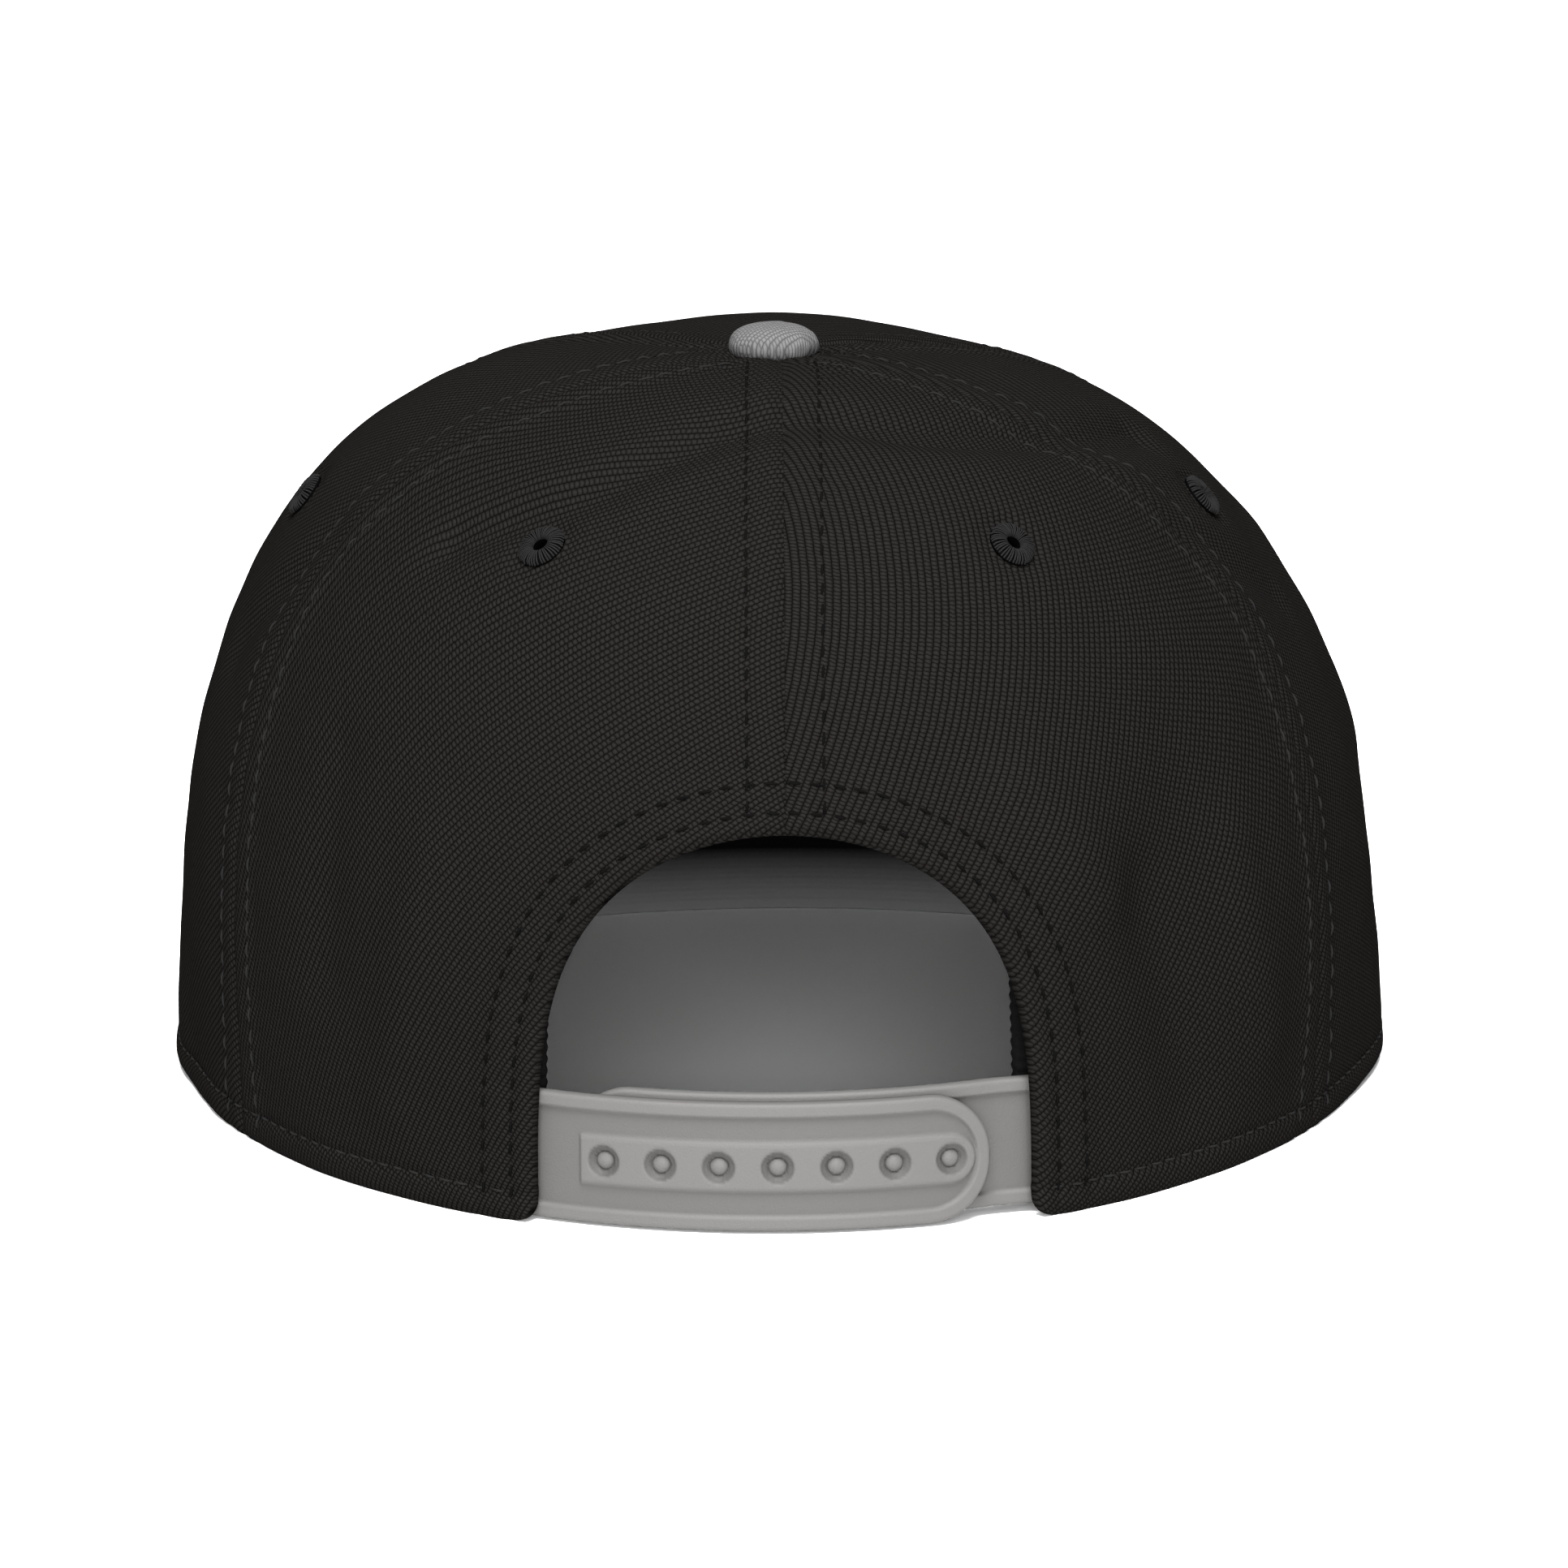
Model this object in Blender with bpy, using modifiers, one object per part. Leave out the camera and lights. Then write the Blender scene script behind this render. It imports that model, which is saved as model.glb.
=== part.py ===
"""A five-panel snapback cap: crown, visor, sweatband, snap strap, button and eyelets.

World axes, in metres: +Z up, the visor points along -Y, the open back faces +Y,
and +X is the wearer's left. The rim and the visor stand on Z = 0.
Azimuths are in degrees around the crown: 0 at the middle of the back, 90 at the
wearer's left, 180 at the front, and negative on the wearer's right.
"""
import math

import bmesh
import bpy
from mathutils import Matrix, Vector

# Crown
CROWN_WIDTH = 0.185
RIM_BACK = 0.1175         # from the widest place to the back of the rim
RIM_FRONT = 0.082         # from the widest place to the front of the rim
CROWN_HEIGHT = 0.1115
APEX_SETBACK = 0.032      # the apex lies behind the widest place
FRONT_LIFT = 0.0036       # how far the stiff front stands up behind the button
CLOTH = 0.0018
GAP = 0.0003              # between pieces that touch
BACK_SEAM = 58.0          # azimuth at the rim
FRONT_SEAM = 122.0

# Rear opening
ARCH_WIDTH = 0.071
ARCH_HEIGHT = 0.0563
ARCH_SHIFT = -0.001       # the opening sits a little towards the wearer's right
ARCH_SQUARENESS = 3.6
ARCH_CORNER = 0.003       # round lower corners of the cloth

# Snap strap, two halves
STRAP_HEIGHT = 0.0182
STRAP_THICK = 0.0012
STRAP_RELIEF = 0.0005     # rails and band stand out this far
STRAP_LIFT = 0.0005       # above the table
STRAP_CORNER = 0.0088
STRAP_TUCK = 0.013        # sewn in behind the cloth at each side
STRAP_END = 0.0058        # from the last snap to the rounded end
RAIL_WIDTH = 0.0020
BAND_HEIGHT = 0.0070
SNAP_PITCH = 0.00805
SNAP_COUNT = 7
PEG_DIAMETER = 0.0028
COUNTERSINK = 0.0008      # added to the hole's radius at the outer face
PEG_HALF_RISE = 0.0009    # the peg half sits this much higher

# Sweatband
BAND_TALL = 0.0380
BAND_THICK = 0.0016
BAND_LIFT = 0.0006
BAND_SHOWS = 0.0018       # the ends stand this far into the opening

# Visor
VISOR_LENGTH = 0.070
VISOR_THICK = 0.0036
VISOR_SPREAD = 61.0       # degrees to each side of the front
VISOR_EDGE = 0.0012

# Button and eyelets
BUTTON_DIAMETER = 0.0135
BUTTON_HEIGHT = 0.0048
BUTTON_STEM = 0.0024
RIVET_DIAMETER = 0.0080
RIVET_THICK = 0.0008
EYELET_OUTER = 0.0070
EYELET_BORE = 0.0025
EYELET_BARREL = 0.0006
EYELET_FLANGE = 0.0006
EYELET_SEAT = 0.0006      # clearance of the inner flange, which lies on a curved wall

# Shape of the crown's meridians at azimuths: 2 is an ellipse, more is squarer
SQUARENESS = (
    # azimuth, exponent
    (0, 2.60),
    (60, 2.50),
    (90, 2.75),
    (120, 2.75),
    (180, 2.80),
)

# How the seams bow between rim and apex: share of the azimuth at the rim
BACK_SEAM_BOW = (
    # rise, share
    (0.00, 1.00),
    (0.20, 1.08),
    (0.45, 1.15),
    (0.70, 1.05),
    (0.90, 0.91),
    (1.00, 0.80),
)
FRONT_SEAM_BOW = (
    # rise, share
    (0.00, 1.00),
    (0.50, 0.99),
    (0.80, 0.97),
    (1.00, 0.93),
)

# Soft bulges (+) and dents (-) of the cloth. The depth is a share of the crown's height
DENTS = (
    # azimuth, height share, azimuth reach, height reach, depth
    (95, 0.95, 45, 0.22, 0.012),
    (-88, 0.74, 44, 0.27, -0.033),
    (0, 0.945, 60, 0.035, -0.008),
    (28, 0.86, 22, 0.05, -0.008),
    (-30, 0.47, 9, 0.14, 0.014),
    (-41, 0.40, 8, 0.22, -0.012),
    (-52, 0.34, 9, 0.22, 0.008),
    (38, 0.42, 14, 0.25, 0.007),
)

EYELETS = (
    # name, azimuth, rise
    ("eyelet_back_left", 31.0, 0.566),
    ("eyelet_back_right", -32.0, 0.566),
    ("eyelet_side_left", 84.0, 0.51),
    ("eyelet_side_right", -79.0, 0.545),
)

# Fineness of the faceted shapes
MERIDIAN_ROWS = 15
DEGREES_PER_COLUMN = 5.0
ROUND_SIDES = 12
ARCH_POINTS = 26
STRAP_SLICE = 0.0055

STRAP_FULL = STRAP_THICK + STRAP_RELIEF
STRAP_INSET = CLOTH + GAP
STACK = STRAP_FULL + GAP
FRONT_REACH = RIM_FRONT + GAP + VISOR_LENGTH
WIDEST_Y = (FRONT_REACH - (RIM_BACK - STRAP_INSET)) / 2.0   # centres the cap on the origin
SNAP_SPAN = SNAP_PITCH * (SNAP_COUNT - 1)
SNAP_Z = STRAP_LIFT + STRAP_HEIGHT / 2.0
HOLE_RADIUS = PEG_DIAMETER / 2.0 + GAP
STEM_HOLE = BUTTON_STEM / 2.0 + 2.5 * GAP


def ease(share):
    """Smooth step from 0 to 1."""
    share = min(max(share, 0.0), 1.0)
    return share * share * (3.0 - 2.0 * share)


def table_value(rows, key):
    """Value at key on a smooth curve through rows of (key, value)."""
    last = len(rows) - 1
    key = min(max(key, rows[0][0]), rows[last][0])
    index = max(i for i in range(last) if rows[i][0] <= key)

    def slope(i):
        before, after = rows[max(i - 1, 0)], rows[min(i + 1, last)]
        return (after[1] - before[1]) / (after[0] - before[0])

    (key_a, value_a), (key_b, value_b) = rows[index], rows[index + 1]
    step = key_b - key_a
    share = (key - key_a) / step
    blend = ease(share)
    bend_a = share * (1.0 - share) ** 2 * step * slope(index)
    bend_b = share ** 2 * (1.0 - share) * step * slope(index + 1)
    return value_a + (value_b - value_a) * blend + bend_a - bend_b


def wrap(azimuth):
    """Azimuth between -180 and 180."""
    return (azimuth + 180.0) % 360.0 - 180.0


def plan_point(azimuth):
    """Rim of the crown in plan, from its widest place."""
    angle = math.radians(azimuth)
    along = RIM_BACK if math.cos(angle) > 0 else RIM_FRONT
    return CROWN_WIDTH / 2.0 * math.sin(angle), along * math.cos(angle)


def dent(azimuth, height, reach):
    """Outward move of the cloth at a place, none at the rim and at the apex."""
    total = 0.0
    for centre, level, spread, tall, depth in DENTS:
        across = wrap(azimuth - centre) / spread
        up = (height - level) / tall
        total += depth * math.exp(-across * across - up * up)
    return CROWN_HEIGHT * total * ease(height / 0.15) * ease(reach / 0.35)


def crown_point(azimuth, rise):
    """Outer face of the crown. rise runs from 0 at the rim to 1 at the apex."""
    exponent = 2.0 / table_value(SQUARENESS, abs(wrap(azimuth)))
    turn = math.radians(90.0 * min(max(rise, 0.0), 1.0))
    reach = max(math.cos(turn), 0.0) ** exponent
    height = max(math.sin(turn), 0.0) ** exponent
    x, y = plan_point(azimuth)
    swell = dent(azimuth, height, reach)
    front = ease((abs(wrap(azimuth)) - 0.97 * FRONT_SEAM) / (180.0 - 0.97 * FRONT_SEAM))
    bulge = (1.0 - (1.0 - reach) ** 2) * height * math.sin(math.pi * reach) ** 1.2
    lift = FRONT_LIFT * front * bulge
    angle = math.radians(azimuth)
    lean = 1.0 - 0.5 * height
    return Vector((
        x * reach + swell * math.sin(angle) * lean,
        WIDEST_Y + APEX_SETBACK + (y - APEX_SETBACK) * reach + swell * math.cos(angle) * lean,
        CROWN_HEIGHT * height + lift + 0.8 * height * swell,
    ))


def crown_normal(azimuth, rise):
    """Outward normal of the crown, and its width for one degree of azimuth."""
    step = 0.5
    rise = min(max(rise, 0.004), 0.99)
    across = crown_point(azimuth + step, rise) - crown_point(azimuth - step, rise)
    up = crown_point(azimuth, rise + 0.004) - crown_point(azimuth, rise - 0.004)
    return up.cross(across).normalized(), across.length / (2.0 * step)


def wall_point(azimuth, height, inset):
    """Point of the upright wall at a height, moved inward from its outer face."""
    exponent = table_value(SQUARENESS, abs(wrap(azimuth))) / 2.0
    share = min(max(height / CROWN_HEIGHT, 0.0), 1.0)
    rise = math.asin(share ** exponent) / math.radians(90.0)
    point = crown_point(azimuth, rise)
    normal = crown_normal(azimuth, rise)[0]
    normal.z = 0.0
    point = point - normal.normalized() * inset
    point.z = height
    return point


def seam_azimuth(seam, rise):
    """Azimuth of a seam at a rise: the back and front seams bow, the middle one is straight."""
    rows = FRONT_SEAM_BOW if abs(seam) == FRONT_SEAM else BACK_SEAM_BOW
    return seam * table_value(rows, rise)


def new_object(name, mesh, collection):
    obj = bpy.data.objects.new(name, mesh)
    collection.objects.link(obj)
    return obj


def mesh_from(name, points, faces):
    mesh = bpy.data.meshes.new(name)
    mesh.from_pydata([tuple(point) for point in points], [], faces)
    mesh.update()
    return mesh


def grid_mesh(name, rows, columns, place):
    """Open surface of rows by columns cells, with place(column share, row share)."""
    points = []
    for row in range(rows + 1):
        for column in range(columns + 1):
            points.append(place(column / columns, row / rows))
    faces = []
    for row in range(rows):
        for column in range(columns):
            corner = row * (columns + 1) + column
            above = corner + columns + 1
            faces.append((corner, above, above + 1, corner + 1))
    return mesh_from(name, points, faces)


def solidify(obj, thickness, offset=-1.0):
    shell = obj.modifiers.new("Solidify", 'SOLIDIFY')
    shell.thickness = thickness
    shell.offset = offset
    shell.use_even_offset = True
    return shell


def cut(obj, cutter):
    modifier = obj.modifiers.new("Cut", 'BOOLEAN')
    modifier.operation = 'DIFFERENCE'
    modifier.solver = 'EXACT'
    modifier.object = cutter
    return modifier


def evaluated_mesh(obj):
    """Mesh of an object with its modifiers or its curve applied."""
    graph = bpy.context.evaluated_depsgraph_get()
    return bpy.data.meshes.new_from_object(obj.evaluated_get(graph))


def weld(mesh, distance=1e-6):
    work = bmesh.new()
    work.from_mesh(mesh)
    bmesh.ops.remove_doubles(work, verts=work.verts, dist=distance)
    work.to_mesh(mesh)
    work.free()


def outline_solid(name, outlines, depth, collection, matrix=None):
    """Closed flat outlines, the later ones as holes, extruded from 0 to depth."""
    curve = bpy.data.curves.new(name, 'CURVE')
    curve.dimensions = '2D'
    curve.fill_mode = 'BOTH'
    curve.extrude = depth / 2.0
    for outline in outlines:
        spline = curve.splines.new('POLY')
        spline.points.add(len(outline) - 1)
        for point, (x, y) in zip(spline.points, outline):
            point.co = (x, y, 0.0, 1.0)
        spline.use_cyclic_u = True
    guide = new_object(name + "_outline", curve, collection)
    bpy.context.view_layer.update()
    mesh = evaluated_mesh(guide)
    bpy.data.objects.remove(guide)
    weld(mesh)
    mesh.transform(Matrix.Translation((0.0, 0.0, depth / 2.0)))
    if matrix is not None:
        mesh.transform(matrix)
    return new_object(name, mesh, collection)


def turned_mesh(name, profile, sides, closed=False):
    """Solid turned about Z from (radius, height) points that run down its outer side."""
    edges = [(i, i + 1) for i in range(len(profile) - 1)]
    if closed:
        edges.append((len(profile) - 1, 0))
    wire = bpy.data.meshes.new(name)
    wire.from_pydata([(radius, 0.0, height) for radius, height in profile], edges, [])
    obj = bpy.data.objects.new(name + "_profile", wire)
    bpy.context.scene.collection.objects.link(obj)
    screw = obj.modifiers.new("Screw", 'SCREW')
    screw.steps = sides
    screw.render_steps = sides
    screw.use_merge_vertices = True
    screw.merge_threshold = 1e-6
    bpy.context.view_layer.update()
    mesh = evaluated_mesh(obj)
    bpy.data.objects.remove(obj)
    weld(mesh)
    return mesh


def rounded_outline(left, right, low, high, radius_left, radius_right, steps=5):
    """Rectangle with its own corner radius at each end, anticlockwise."""
    corners = (
        (right - radius_right, low + radius_right, radius_right, -90),
        (right - radius_right, high - radius_right, radius_right, 0),
        (left + radius_left, high - radius_left, radius_left, 90),
        (left + radius_left, low + radius_left, radius_left, 180),
    )
    points = []
    for x, y, radius, start in corners:
        count = steps if radius > 0 else 0
        for step in range(count + 1):
            angle = math.radians(start + 90.0 * step / max(count, 1))
            points.append((x + radius * math.cos(angle), y + radius * math.sin(angle)))
    return points


def arch_half_width(height):
    """Half the width of the rear opening at a height, with its round lower corners."""
    share = min(max(height / ARCH_HEIGHT, 0.0), 1.0)
    width = ARCH_WIDTH / 2.0 * math.sqrt(1.0 - share ** ARCH_SQUARENESS)
    if height < ARCH_CORNER:
        side = ARCH_CORNER - max(height, 0.0)
        width += ARCH_CORNER - math.sqrt(ARCH_CORNER ** 2 - side ** 2)
    return width


def arch_cutter(collection):
    """Solid that cuts the rear opening straight through the back of the crown."""
    heights = [ARCH_CORNER * step / 4.0 for step in range(4)]
    for step in range(ARCH_POINTS // 2 + 1):
        share = math.sin(math.radians(90.0 * step / (ARCH_POINTS // 2))) ** (2.0 / ARCH_SQUARENESS)
        heights.append(ARCH_CORNER + (ARCH_HEIGHT - ARCH_CORNER) * share)
    side = [(arch_half_width(height), height) for height in heights]
    side.insert(0, (side[0][0], -2.0 * CLOTH))
    outline = [(ARCH_SHIFT + x, z) for x, z in side]
    outline += [(ARCH_SHIFT - x, z) for x, z in reversed(side[:-1])]
    depth = RIM_BACK / 2.0
    upright = Matrix.Rotation(math.radians(90.0), 4, 'X')
    place = Matrix.Translation((0.0, WIDEST_Y + RIM_BACK + 2.0 * CLOTH, 0.0))
    return outline_solid("arch_cutter", [outline], depth, collection, place @ upright)


def eyelet_frame(azimuth, rise):
    """Matrix whose Z is the crown's outward normal at an eyelet."""
    normal = crown_normal(azimuth, rise)[0]
    turn = Vector((0.0, 0.0, 1.0)).rotation_difference(normal).to_matrix().to_4x4()
    return Matrix.Translation(crown_point(azimuth, rise)) @ turn


def eyelet_cutter(name, azimuth, rise, collection):
    """Cylinder that cuts the hole an eyelet's barrel passes through."""
    mesh = bpy.data.meshes.new(name + "_cutter")
    work = bmesh.new()
    radius = EYELET_BORE / 2.0 + EYELET_BARREL + GAP
    bmesh.ops.create_cone(work, cap_ends=True, segments=ROUND_SIDES, radius1=radius,
                          radius2=radius, depth=6.0 * CLOTH)
    work.to_mesh(mesh)
    work.free()
    mesh.transform(eyelet_frame(azimuth, rise))
    return new_object(name + "_cutter", mesh, collection)


def make_panel(name, seam_a, seam_b, collection, cutters=()):
    """Crown panel between two seams, from the rim to the stem hole at the apex."""
    columns = max(4, math.ceil(abs(seam_b - seam_a) / DEGREES_PER_COLUMN))
    widest = max(CROWN_WIDTH / 2.0, RIM_BACK - APEX_SETBACK, RIM_FRONT + APEX_SETBACK)
    exponent = SQUARENESS[0][1] / 2.0
    top = math.acos((STEM_HOLE / widest) ** exponent) / math.radians(90.0)

    def place(across, up):
        rise = top * ease(up)
        azimuth_a = seam_azimuth(seam_a, rise)
        azimuth_b = seam_azimuth(seam_b, rise)
        if seam_b > 180.0:
            azimuth_b = 360.0 - seam_azimuth(360.0 - seam_b, rise)
        inset_a = GAP / 2.0 / crown_normal(azimuth_a, rise)[1]
        inset_b = GAP / 2.0 / crown_normal(azimuth_b, rise)[1]
        azimuth = azimuth_a + inset_a + (azimuth_b - azimuth_a - inset_a - inset_b) * across
        return crown_point(azimuth, rise)

    mesh = grid_mesh(name, MERIDIAN_ROWS, columns, place)
    obj = new_object(name, mesh, collection)
    solidify(obj, CLOTH)
    for cutter in cutters:
        cut(obj, cutter)
    return obj


def make_crown(collection, cutters):
    """The five panels, with the rear opening and the eyelet holes."""
    arch = arch_cutter(cutters)
    holes = {name: eyelet_cutter(name, azimuth, rise, cutters) for name, azimuth, rise in EYELETS}
    make_panel("back_panel_left", 0.0, BACK_SEAM, collection, (arch, holes["eyelet_back_left"]))
    make_panel("back_panel_right", -BACK_SEAM, 0.0, collection, (arch, holes["eyelet_back_right"]))
    make_panel("side_panel_left", BACK_SEAM, FRONT_SEAM, collection, (holes["eyelet_side_left"],))
    make_panel("side_panel_right", -FRONT_SEAM, -BACK_SEAM, collection,
               (holes["eyelet_side_right"],))
    make_panel("front_panel", FRONT_SEAM, 360.0 - FRONT_SEAM, collection)


def arc_table():
    """Rows of (azimuth, length along the strap) around the back, at half the wall's depth."""
    rows = []
    length = 0.0
    before = None
    for step in range(-60, 61):
        azimuth = float(step)
        point = wall_point(azimuth, SNAP_Z, STRAP_INSET + STACK)
        if before is not None:
            length += (point - before).length
        before = point
        rows.append([azimuth, length])
    middle = rows[60][1]
    return [(azimuth, length - middle) for azimuth, length in rows]


def azimuth_at(length, rows):
    """Azimuth at a length along the strap from the middle of the back."""
    for (azimuth_a, length_a), (azimuth_b, length_b) in zip(rows, rows[1:]):
        if length <= length_b:
            return azimuth_a + (azimuth_b - azimuth_a) * (length - length_a) / (length_b - length_a)
    return rows[-1][0]


def length_at(azimuth, rows):
    """Length along the strap at an azimuth."""
    for (azimuth_a, length_a), (azimuth_b, length_b) in zip(rows, rows[1:]):
        if azimuth <= azimuth_b:
            return length_a + (length_b - length_a) * (azimuth - azimuth_a) / (azimuth_b - azimuth_a)
    return rows[-1][1]


def edge_azimuth(side, rows):
    """Azimuth of the cloth's edge beside the strap, side +1 on the left and -1 on the right."""
    goal = ARCH_SHIFT * side + arch_half_width(SNAP_Z)
    for azimuth, _ in rows[60:] if side > 0 else reversed(rows[:61]):
        if abs(wall_point(azimuth, SNAP_Z, 0.0).x) >= goal:
            return azimuth
    return 60.0 * side


def strap_sizes():
    """Where the strap's halves start and end along the back, and where the cloth's edges are."""
    rows = arc_table()
    left = length_at(edge_azimuth(1, rows), rows)
    right = length_at(edge_azimuth(-1, rows), rows)
    return {
        "rows": rows,
        "left": left,
        "right": right,
        "root_left": left + STRAP_TUCK,
        "root_right": right - STRAP_TUCK,
        "end": SNAP_SPAN / 2.0 + STRAP_END,
    }


def peg_inset(length, sizes):
    """The peg half lies behind the other half and steps outward to its own sewn end."""
    inner = -sizes["end"]
    outer = (sizes["right"] + sizes["root_right"]) / 2.0
    return STRAP_INSET + STACK * ease((length - outer) / (inner - outer))


def sweatband_inset(azimuth, sizes):
    """The sweatband lies on the cloth, and behind the strap's ends where they are sewn in."""
    rows = sizes["rows"]
    inset = CLOTH + GAP
    root = max(abs(azimuth_at(sizes["root_left"], rows)), abs(azimuth_at(sizes["root_right"], rows)))
    inset += STACK * ease((root * 1.35 - abs(azimuth)) / (root * 0.3))
    if azimuth < 0 and abs(azimuth) < root * 1.3:
        inset += peg_inset(length_at(azimuth, rows), sizes) - STRAP_INSET
    return inset


def bend(obj, sizes, inset_at):
    """Slice a flat strap along its length and lay it around the back of the crown."""
    work = bmesh.new()
    work.from_mesh(obj.data)
    first = min(vertex.co.x for vertex in work.verts)
    last = max(vertex.co.x for vertex in work.verts)
    count = max(2, round((last - first) / STRAP_SLICE))
    for step in range(1, count):
        place = first + (last - first) * step / count
        bmesh.ops.bisect_plane(work, geom=work.verts[:] + work.edges[:] + work.faces[:], dist=1e-7,
                               plane_co=(place, 0.0, 0.0), plane_no=(1.0, 0.0, 0.0))
    bmesh.ops.remove_doubles(work, verts=work.verts, dist=2e-6)
    bmesh.ops.dissolve_degenerate(work, edges=work.edges, dist=2e-6)
    bmesh.ops.triangulate(work, faces=work.faces)
    for vertex in work.verts:
        length, height, out = vertex.co
        azimuth = azimuth_at(length, sizes["rows"])
        vertex.co = wall_point(azimuth, height, inset_at(length) + STRAP_FULL - out)
    if work.calc_volume(signed=True) < 0.0:
        bmesh.ops.reverse_faces(work, faces=work.faces)
    work.to_mesh(obj.data)
    work.free()


def apply_modifiers(obj):
    """Replace an object's mesh by its evaluated one."""
    bpy.context.view_layer.update()
    mesh = evaluated_mesh(obj)
    obj.modifiers.clear()
    obj.data = mesh


def join(obj, other):
    modifier = obj.modifiers.new("Join", 'BOOLEAN')
    modifier.operation = 'UNION'
    modifier.solver = 'EXACT'
    modifier.object = other
    return modifier


def row_of(mesh, name, collection, height):
    """One mesh with a copy of the given one at each snap."""
    work = bmesh.new()
    for index in range(SNAP_COUNT):
        place = -SNAP_SPAN / 2.0 + SNAP_PITCH * index
        copy = mesh.copy()
        copy.transform(Matrix.Translation((place, height, 0.0)))
        work.from_mesh(copy)
        bpy.data.meshes.remove(copy)
    whole = bpy.data.meshes.new(name)
    work.to_mesh(whole)
    work.free()
    return new_object(name, whole, collection)


def strap_slab(name, left, right, radius_left, radius_right, low, collection):
    """Flat half of the strap, full thickness, before its face is sunk."""
    outline = rounded_outline(left, right, low, low + STRAP_HEIGHT, radius_left, radius_right)
    return outline_solid(name, [outline], STRAP_FULL, collection)


def sink_face(obj, name, left, right, radius_left, radius_right, low, island, cutters):
    """Cut the strap's outer face down inside its rails, around the raised island if any."""
    inner = STRAP_CORNER - RAIL_WIDTH
    corner_left = inner if radius_left > 0 else 0.0
    corner_right = inner if radius_right > 0 else 0.0
    outlines = [rounded_outline(left, right, low + RAIL_WIDTH, low + STRAP_HEIGHT - RAIL_WIDTH,
                                corner_left, corner_right)]
    if island:
        outlines.append(island)
    lift = Matrix.Translation((0.0, 0.0, STRAP_THICK))
    cutter = outline_solid(name, outlines, 2.0 * STRAP_RELIEF, cutters, lift)
    cut(obj, cutter)


def make_socket_half(collection, cutters, sizes):
    """Outer half of the strap: rails, a raised band and a row of countersunk holes."""
    left = sizes["root_left"]
    end = -sizes["end"]
    low = STRAP_LIFT
    obj = strap_slab("strap_socket_half", end, left, STRAP_CORNER, 0.0, low, collection)
    band_low = SNAP_Z - BAND_HEIGHT / 2.0
    band_end = SNAP_SPAN / 2.0 + BAND_HEIGHT / 2.0
    island = rounded_outline(-band_end, band_end, band_low, band_low + BAND_HEIGHT,
                             0.499 * BAND_HEIGHT, 0.1 * BAND_HEIGHT)
    sink_face(obj, "socket_face_cutter", end + RAIL_WIDTH, sizes["left"] - RAIL_WIDTH,
              STRAP_CORNER, 0.0, low, island, cutters)
    profile = (
        (0.0, 2.0 * STRAP_FULL),
        (HOLE_RADIUS + COUNTERSINK, 2.0 * STRAP_FULL),
        (HOLE_RADIUS + COUNTERSINK, STRAP_FULL - STRAP_RELIEF / 2.0),
        (HOLE_RADIUS, STRAP_FULL - STRAP_RELIEF / 2.0 - COUNTERSINK / 2.0),
        (HOLE_RADIUS, -STRAP_THICK),
        (0.0, -STRAP_THICK),
    )
    hole = turned_mesh("snap_hole", profile, ROUND_SIDES)
    cut(obj, row_of(hole, "snap_hole_cutter", cutters, SNAP_Z))
    apply_modifiers(obj)
    bend(obj, sizes, lambda length: STRAP_INSET)
    return obj


def make_peg_half(collection, cutters, sizes):
    """Inner half of the strap: rails and a row of domed pegs that stand in the holes."""
    right = sizes["root_right"]
    end = sizes["end"]
    low = STRAP_LIFT + PEG_HALF_RISE
    obj = strap_slab("strap_peg_half", right, end, 0.0, STRAP_CORNER, low, collection)
    sink_face(obj, "peg_face_cutter", sizes["right"] + RAIL_WIDTH, end - RAIL_WIDTH,
              0.0, STRAP_CORNER, low, None, cutters)
    radius = PEG_DIAMETER / 2.0
    tip = STACK + STRAP_FULL - STRAP_RELIEF / 2.0
    profile = (
        (0.0, tip),
        (0.55 * radius, tip - 0.12 * radius),
        (0.88 * radius, tip - 0.40 * radius),
        (radius, tip - 0.80 * radius),
        (radius, STRAP_THICK / 2.0),
        (0.0, STRAP_THICK / 2.0),
    )
    peg = turned_mesh("snap_peg", profile, ROUND_SIDES)
    join(obj, row_of(peg, "snap_peg_guide", cutters, SNAP_Z))
    apply_modifiers(obj)
    bend(obj, sizes, lambda length: peg_inset(length, sizes))
    return obj


def make_sweatband(collection, sizes):
    """Band inside the rim, open at the back."""
    shows = BAND_SHOWS
    first = azimuth_at(sizes["left"] - shows, sizes["rows"])
    last = 360.0 + azimuth_at(sizes["right"] + shows, sizes["rows"])
    columns = math.ceil((last - first) / DEGREES_PER_COLUMN)

    def place(across, up):
        azimuth = wrap(first + (last - first) * across)
        height = BAND_LIFT + BAND_TALL * up
        return wall_point(azimuth, height, sweatband_inset(azimuth, sizes))

    obj = new_object("sweatband", grid_mesh("sweatband", 3, columns, place), collection)
    solidify(obj, BAND_THICK)
    return obj


def visor_reach(share):
    """Length of the visor at a share of its spread, from 0 at the front to 1 at its ends."""
    return VISOR_LENGTH * (1.0 - abs(share) ** 2.5) ** 0.9


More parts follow.
